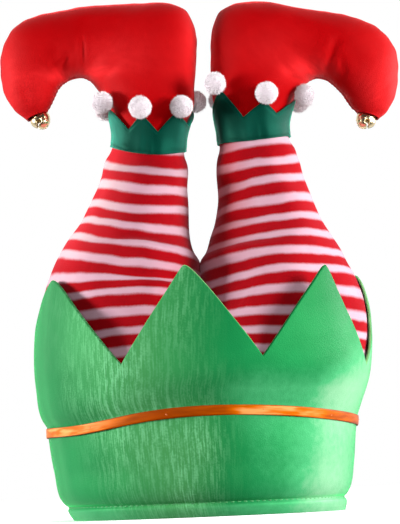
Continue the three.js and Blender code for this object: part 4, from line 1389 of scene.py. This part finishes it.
collars = {
    "cut": {"flat": (0.036, 0.17), "area": 0.0042},  # the flat strip, in metres
    "wall": 1.6,
    "ease": 0.5,
    "flare": 3.0,
    "flareFrom": 8.0,
    "flareTo": 27.0,
    "flareBend": 1.5,
    "tipRound": 0.1,
    "bow": 0.86,  # under 1 the slopes fall steeply from the tips
    "fold": 0.26,  # depth of the soft upright folds
    "steps": 12,
    "round": 26.0,  # mean radius
    "hem": (0, 0.012, 0.035, 0.07, 0.12),  # the first rows by share of the height, mirrored at the top
    "hemSeam": 0.09,  # share at which each hem is sewn, how deep and how wide
    "seamDepth": 0.35,
    "seamWidth": 0.03,
    # painted highlight where light catches the collar's sides, by degrees from the front
    "pale": columns("angle left right", [
        (-180, 0.1, 0.1), (-110, 0.5, 0.0), (-80, 1.0, 0.0), (-58, 0.5, 0.0), (-36, 0.0, 0.0),
        (-8, 0.1, 0.1), (10, 0.0, 0.0), (44, 0.1, 0.1), (66, 0.5, 0.15), (88, 0.4, 0.1),
        (120, 0.1, 0.2), (180, 0.1, 0.1),
    ]),
    "left": columns("tip tipZ valley valleyZ up", [
        (-58, 26.0, -31, 13.0, 0.7), (-10, 23.5, 14, 12.5, 0.8), (34, 26.0, 76, 18.0, 0.8),
        (134, 33.0, 160, 18.0, 0.6), (184, 29.0, 209, 17.0, 0.8), (234, 25.0, 268, 16.0, 0.25),
    ]),
    "right": columns("tip tipZ valley valleyZ up", [
        (-38, 35.0, -14, 15.0, 0.8), (16, 24.0, 38, 15.5, 0.8), (70, 24.5, 97, 16.0, 0.35),
        (122, 25.0, 145, 16.0, 0.25), (167, 29.0, 190, 16.0, 0.8), (213, 31.0, 266, 17.0, 0.8),
    ]),
}


# How far a collar stands off its ankle, more towards the tips.
def collarFlare(height):
    span = collars["flareTo"] - collars["flareFrom"]
    above = np.maximum(0, height - collars["flareFrom"])
    return collars["flare"] * (above / span) ** collars["flareBend"]


# A folded strip: an outer and an inner wall, puffed, from the dipping lower edge to the zigzag.
def makeCollar(side):
    bow = np.full(len(collars[side]["tip"]), collars["bow"])
    points = {**collars[side], "fall": bow, "rise": bow}
    angle, edge = zigzag(points, collars["steps"], collars["tipRound"])
    lower = -ankles[side]["dip"] * np.cos(angle) ** 2
    hem = np.array(collars["hem"])
    level = np.concatenate([hem, np.linspace(0.18, 0.82, 14), 1 - hem[::-1]])[:, None]
    height = lower + level * (edge - lower)
    puff = np.sqrt(np.maximum(0, 1 - np.abs(2 * level - 1) ** 10))
    sewn = collars["seamDepth"] * sum(
        dip(level - share, collars["seamWidth"]) for share in (collars["hemSeam"], 1 - collars["hemSeam"])
    )
    gather = collars["fold"] * np.sin(13 * angle + 3 * np.sin(4 * angle)) * ease(0.9, 0.1, level)
    middle = collars["ease"] + collars["wall"] / 2 + collarFlare(height) + gather
    outer = onAnkle(side, angle, height, middle + collars["wall"] * (0.5 * puff - sewn * puff))
    inner = onAnkle(side, angle, height, middle - collars["wall"] * 0.5 * puff)
    points = fromAnkle(side, np.concatenate([outer, inner[::-1]]))
    uv = loopUv(angle, collars["round"], np.concatenate([height, height[::-1]]))
    line = np.broadcast_to(2 * sewn, height.shape)
    pale = readOff(collars["pale"], side, degreesFrom(angle))
    values = {"sewn": np.concatenate([line, line[::-1]]), "pale": np.broadcast_to(pale, points.shape[:2])}
    return gridObject(f"ankle_collar_{side}", points, uv, collarGreen, True, values)


ankleCollars = {side: makeCollar(side) for side in sides}
print("collars made")


# Pompoms

pompoms = {
    "radius": 8.2,
    "core": 6.4,
    "coreLump": 0.4,
    "coreRound": 24,
    "coreRings": 13,
    "strands": 1500,
    "strandWidth": 0.36,
    "rootDepth": 1.2,  # how deep a strand starts in the core
    "spread": 0.03,  # how unevenly the strands stand, how far they bend, and how their length varies
    "bend": 0.22,
    "cut": 0.22,
    "lump": 0.35,
    "coreShade": 0.6,
    "shade": (0.8, 0.8, 0.8, 0.15, 0.15, 0.15, 0.0),  # painted shade deep among the strands: of a strand's three roots, three bends and its tip
    "ballRadius": 7.2,  # the plain ball and its gap to the point place the pompom
    "gap": 0.3,
    "seed": 31,
}


# Middle of a pompom: out and up from the tip of its point.
def pompomMiddle(side, n):
    row = {key: value[n] for key, value in collars[side].items()}
    angle = np.radians(row["tip"])
    standOff = collars["ease"] + collars["wall"] + collarFlare(row["tipZ"])
    tip = onAnkle(side, angle, np.array(row["tipZ"]), standOff)
    way = unit(outward(angle) + [0, 0, row["up"]])
    return fromAnkle(side, tip + way * (pompoms["ballRadius"] + pompoms["gap"]))


# Even directions over a ball, on a spiral from pole to pole.
def spiral(count):
    height = 1 - (2 * np.arange(count) + 1) / count
    turn = np.arange(count) * np.pi * (3 - 5**0.5)
    flat = np.sqrt(1 - height**2)
    return np.stack([flat * np.cos(turn), flat * np.sin(turn), height], -1)


# A core of yarn and cut strands all over it: each strand is a three-sided spike that bends a little.
def makePompom(name, middle, seed):
    random = np.random.default_rng(seed)
    turn = np.linspace(0, 2 * np.pi, pompoms["coreRound"], endpoint=False)
    turn, rise = np.meshgrid(turn, np.linspace(-1.4, 1.4, pompoms["coreRings"]))
    ball = np.stack([np.cos(rise) * np.cos(turn), np.cos(rise) * np.sin(turn), np.sin(rise)], -1)
    core = ball * (pompoms["core"] + pompoms["coreLump"] * unevenness(ball, 0.9, seed))[..., None]

    ways = unit(spiral(pompoms["strands"]) + random.normal(0, pompoms["spread"], (pompoms["strands"], 3)))
    lean = random.normal(0, pompoms["bend"], ways.shape)
    lumps = pompoms["lump"] * unevenness(ways, 0.8, seed + 1)
    reach = (pompoms["radius"] + (lumps + random.normal(0, pompoms["cut"], len(ways))))[:, None]
    side = unit(np.cross(ways, random.normal(size=ways.shape)))
    other = np.cross(ways, side)
    root = ways * (pompoms["core"] - pompoms["rootDepth"])
    waist = ways * (0.5 * (pompoms["core"] + reach)) + lean * 0.4
    tip = ways * reach + lean
    corner = np.radians([0, 120, 240])[:, None]
    ring = pompoms["strandWidth"] / 2 * (np.cos(corner) * side[:, None] + np.sin(corner) * other[:, None])
    strands = np.concatenate([root[:, None] + ring, waist[:, None] + ring, tip[:, None]], 1)
    base = turn.size + strands.shape[1] * np.arange(len(ways))[:, None, None]
    walls = (np.array([(0, 1, 4, 3), (1, 2, 5, 4), (2, 0, 3, 5)]) + base).reshape(-1, 4)
    ends = (np.array([(3, 4, 6), (4, 5, 6), (5, 3, 6), (2, 1, 0)]) + base).reshape(-1, 3)

    vertices = np.concatenate([core.reshape(-1, 3), strands.reshape(-1, 3)]) + middle
    # painted shade on the core and on the strands' roots
    coreShade = np.full(turn.size, pompoms["coreShade"])
    shade = np.concatenate([coreShade, np.tile(pompoms["shade"], len(ways))])
    faces = facingOut(vertices, [*tubeFaces(*turn.shape), walls, ends])
    return meshObject(name, vertices, faces, whiteYarn, None, {"root": shade})


woolPompoms = {}
for side in sides:
    for n in range(len(collars[side]["tip"])):
        name = f"pompom_{side}_{n + 1}"
        seed = pompoms["seed"] + 7 * n + len(side)
        woolPompoms[name] = makePompom(f"wool_{name}", pompomMiddle(side, n), seed)
print("pompoms:", len(woolPompoms))


# Jingle bells

bells = {
    "radius": 6.8,
    "wall": 0.55,
    "slot": 0.7,  # half the width of a slot
    "hole": 1.7,  # radius of the round hole at its end
    "holeAt": -24.0,  # degrees up from the seam
    "square": 2.8,  # 2 is a plain ball, and more makes the cup below the seam squarer
    "seam": 0.35,  # how far the crimped seam stands out, and its width in radians
    "seamWidth": 0.055,
    "columns": 15,  # points across a petal
    "rows": (14, 24, 9, 14),  # from the tip up: closer round the hole and at the seam
    "bounds": (-0.72, -0.12, 0.1, 0.2, 1.5),  # radians where their spacing changes
    "left": {"x": -108.2, "z": 281.4, "swing": 18.0},
    "right": {"x": 121.2, "z": 272.0, "swing": -6.0},
}


# Half the gap between two petals at each height: the slot's width, then the round hole, shut above it.
def petalGap(rise):
    down = (rise - np.radians(bells["holeAt"])) * bells["radius"]
    ring = np.sqrt(np.maximum(0, bells["hole"] ** 2 - down**2))
    slot = np.where(down < 0, bells["slot"], 0.0)
    return np.maximum(ring, slot)


# A quarter turn about the upright axis, so many times.
def quarterTurns(points, times):
    for _ in range(times):
        points = np.stack([-points[..., 1], points[..., 0], points[..., 2]], -1)
    return points


# A ball in four petals: each runs between its two slots, from the tip under the bell up to the crimped
# seam and on over the top, where the petals meet.
def makeBell(side):
    radius = bells["radius"]
    tip = -math.acos(bells["slot"] * math.sqrt(2) / radius)
    cup, hole, seam, top = bells["rows"]
    cupEnd, seamStart, seamEnd, topStart, topEnd = bells["bounds"]
    rise = np.concatenate([
        np.linspace(tip, cupEnd, cup, endpoint=False),
        np.linspace(cupEnd, seamStart, hole, endpoint=False),
        np.linspace(seamStart, seamEnd, seam),
        np.linspace(topStart, topEnd, top),
    ])[:, None]
    start = np.arcsin(np.clip(petalGap(rise) / (radius * np.cos(rise)), 0, math.sqrt(0.5)))
    turn = start + (np.pi / 2 - 2 * start) * np.linspace(0, 1, bells["columns"])
    ways = unit(np.stack(np.broadcast_arrays(np.cos(turn), np.sin(turn), np.tan(rise)), -1))
    power = np.where(rise < 0, bells["square"], 2.0)
    square = (np.abs(np.cos(rise)) ** power + np.abs(np.sin(rise)) ** power) ** (-1 / power)
    petal = ways * (radius * square + bells["seam"] * dip(rise, bells["seamWidth"]))[..., None]
    rows, cols = petal.shape[:2]
    petals = np.stack([quarterTurns(petal, k) for k in range(4)]).reshape(-1, 3)
    offsets = (np.arange(4) * rows * cols)[:, None]
    walls = (quadNumbers(rows - 1, cols - 1, rows, cols) + offsets[..., None]).reshape(-1, 4)
    lastRow = ((rows - 1) * cols + np.arange(cols - 1) + offsets).ravel()
    crown = np.stack([lastRow, lastRow + 1, np.full(len(lastRow), len(petals))], -1)
    place = np.array([bells[side]["x"], shoeLean(side), bells[side]["z"]])
    around = np.concatenate([petals, [[0, 0, radius]]]) @ rolled(bells[side]["swing"]).T
    made = meshObject(f"jingle_bell_{side}", around + place, facingOut(around, [walls, crown]), brass)
    joinDoubles(made)
    shell = made.modifiers.new("sheet brass", "SOLIDIFY")
    shell.thickness = bells["wall"] * mm
    shell.offset = -1
    return made


# Points of one mesh that lie in the same place become one.
def joinDoubles(piece, distance=0.02):
    work = bmesh.new()
    work.from_mesh(piece.data)
    bmesh.ops.remove_doubles(work, verts=work.verts, dist=distance * mm)
    work.to_mesh(piece.data)
    work.free()


jingleBells = {side: makeBell(side) for side in sides}
print("bells made")


# What stands for which solid

def dress(piece, slot, *nodes):
    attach(piece, "root")
    if nodes:
        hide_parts(*nodes)


dress(hatBand, "band", "head_band")
dress(hatRibbon, "ribbon", "ribbon")
dress(hemStitches, "band")
dress(tackStitches, "ribbon")
for side in sides:
    dress(plushLegs[side], "leg", f"leg_{side}")
    dress(curledShoes[side], "shoe", f"shoe_{side}")
    dress(ankleCollars[side], "collar", f"collar_{side}")
    dress(jingleBells[side], "bell", f"bell_{side}")
for node, piece in woolPompoms.items():
    dress(piece, "pompom", node)


# Floor, light and camera

stage = {
    "floor": paint(250, 250, 250),
    "floorGrain": paint(235, 235, 235),
    "floorReach": 12000.0,
    "floorSteps": 12,
    "shadowGlow": paint(120, 120, 120),  # the floor's own light where shadows show on it
    "shadowReach": (0.1, 0.17),  # they fade out between these distances, in metres
    "surround": (0.04, 0.9),  # light from the room in front and from the backdrop
    "surroundTurn": (-0.5, 0.7),  # how far back it goes over from one to the other
    "lightTarget": (0, 0, 0.18),
    "lights": {
        "key": {"place": (1.18, -0.62, 0.34), "size": 0.6, "power": 28.5},
        "right rim": {"place": (1.25, 0.3, 0.35), "size": 0.6, "power": 13.0},
        "left": {"place": (-1.28, -0.23, 0.3), "size": 0.35, "power": 27.0},
        "low front": {"place": (0.0, -1.5, 0.12), "size": 0.5, "power": 12.0},
    },
}


def makeFloor():
    steps = stage["floorSteps"]
    edge = np.linspace(-stage["floorReach"], stage["floorReach"], steps + 1)
    x, y = np.meshgrid(edge, edge)
    points = np.stack([x, y, 0 * x], -1).reshape(-1, 3)
    material, tree, shader = newMaterial(
        "pale paper", Roughness=0.9, Specular_IOR_Level=0.1, Emission_Strength=1.0,
    )
    place = placeOn(tree)
    grain = scaled(tree, noiseNode(tree, place, 0.4), 0.03)
    link(tree, blendColors(tree, grain, stage["floor"], stage["floorGrain"]), shader.inputs["Base Color"])
    away = addNode(tree, "VectorMath", operation="LENGTH")
    link(tree, place, away.inputs[0])
    white = softStep(tree, away.outputs["Value"], *stage["shadowReach"])
    glow = blendColors(tree, white, stage["shadowGlow"], paint(255, 255, 255))
    link(tree, glow, shader.inputs["Emission Color"])
    floor = meshObject("floor", points, [quadNumbers(steps, steps, steps + 1, steps + 1)], material)
    floor.visible_diffuse = False  # the white floor throws no light up at the hat
    floor.visible_glossy = False


# White all round for the eye. As light it is a bright backdrop behind the hat and a dim room before it.
def makeSurround():
    world = bpy.data.worlds.new("white surround")
    world.use_nodes = True
    tree = world.node_tree
    back = tree.nodes["Background"]
    way = addNode(tree, "SeparateXYZ")
    link(tree, addNode(tree, "TexCoord").outputs["Generated"], way.inputs["Vector"])
    glow = addNode(tree, "MapRange", interpolation_type="SMOOTHSTEP")
    room, backdrop = stage["surround"]
    first, last = stage["surroundTurn"]
    setInputs(glow, From_Min=first, From_Max=last, To_Min=room, To_Max=backdrop)
    link(tree, way.outputs["Y"], glow.inputs["Value"])
    seen = addNode(tree, "LightPath").outputs["Is Camera Ray"]
    link(tree, mathNode(tree, "MAXIMUM", glow.outputs["Result"], seen), back.inputs["Strength"])
    back.inputs["Color"].default_value = (1, 1, 1, 1)
    scene.world = world


# A turned frame that looks from one place to another: columns right, up and back.
def lookAt(place, target, roll=0.0):
    ahead = unit(np.array(target, float) - place)
    right = unit(np.cross(ahead, (0, 0, 1)))
    up = np.cross(right, ahead)
    right, up = (
        right * math.cos(roll) - up * math.sin(roll),
        up * math.cos(roll) + right * math.sin(roll),
    )
    made = np.eye(4)
    made[:3] = np.stack([right, up, -ahead, place], 1)
    return made.T.ravel()


def placeObject(made, frameValues):
    scene.collection.objects.link(made)
    made.matrix_world = [frameValues[n:n + 4] for n in range(0, 16, 4)]


def makeLights():
    for name, look in stage["lights"].items():
        lamp = bpy.data.lights.new(f"{name} light", "AREA")
        lamp.energy = look["power"]
        lamp.size = look["size"]
        view = lookAt(np.array(look["place"]), stage["lightTarget"])
        placeObject(bpy.data.objects.new(lamp.name, lamp), view)


camera = {
    "place": (0.0, -1.25, 0.016),
    "target": (0.0, 0.0, 0.1755),
    "roll": 2.4,
    "lens": 123.68,
    "sensor": 36.0,
}


def makeCamera():
    data = bpy.data.cameras.new("camera")
    data.lens = camera["lens"]
    data.sensor_width = camera["sensor"]
    data.clip_start, data.clip_end = 0.01, 60
    made = bpy.data.objects.new("camera", data)
    placeObject(made, lookAt(np.array(camera["place"]), camera["target"], math.radians(camera["roll"])))
    scene.camera = made


makeFloor()
makeSurround()
makeLights()
makeCamera()
scene.view_settings.view_transform = "Standard"
print("stage set")
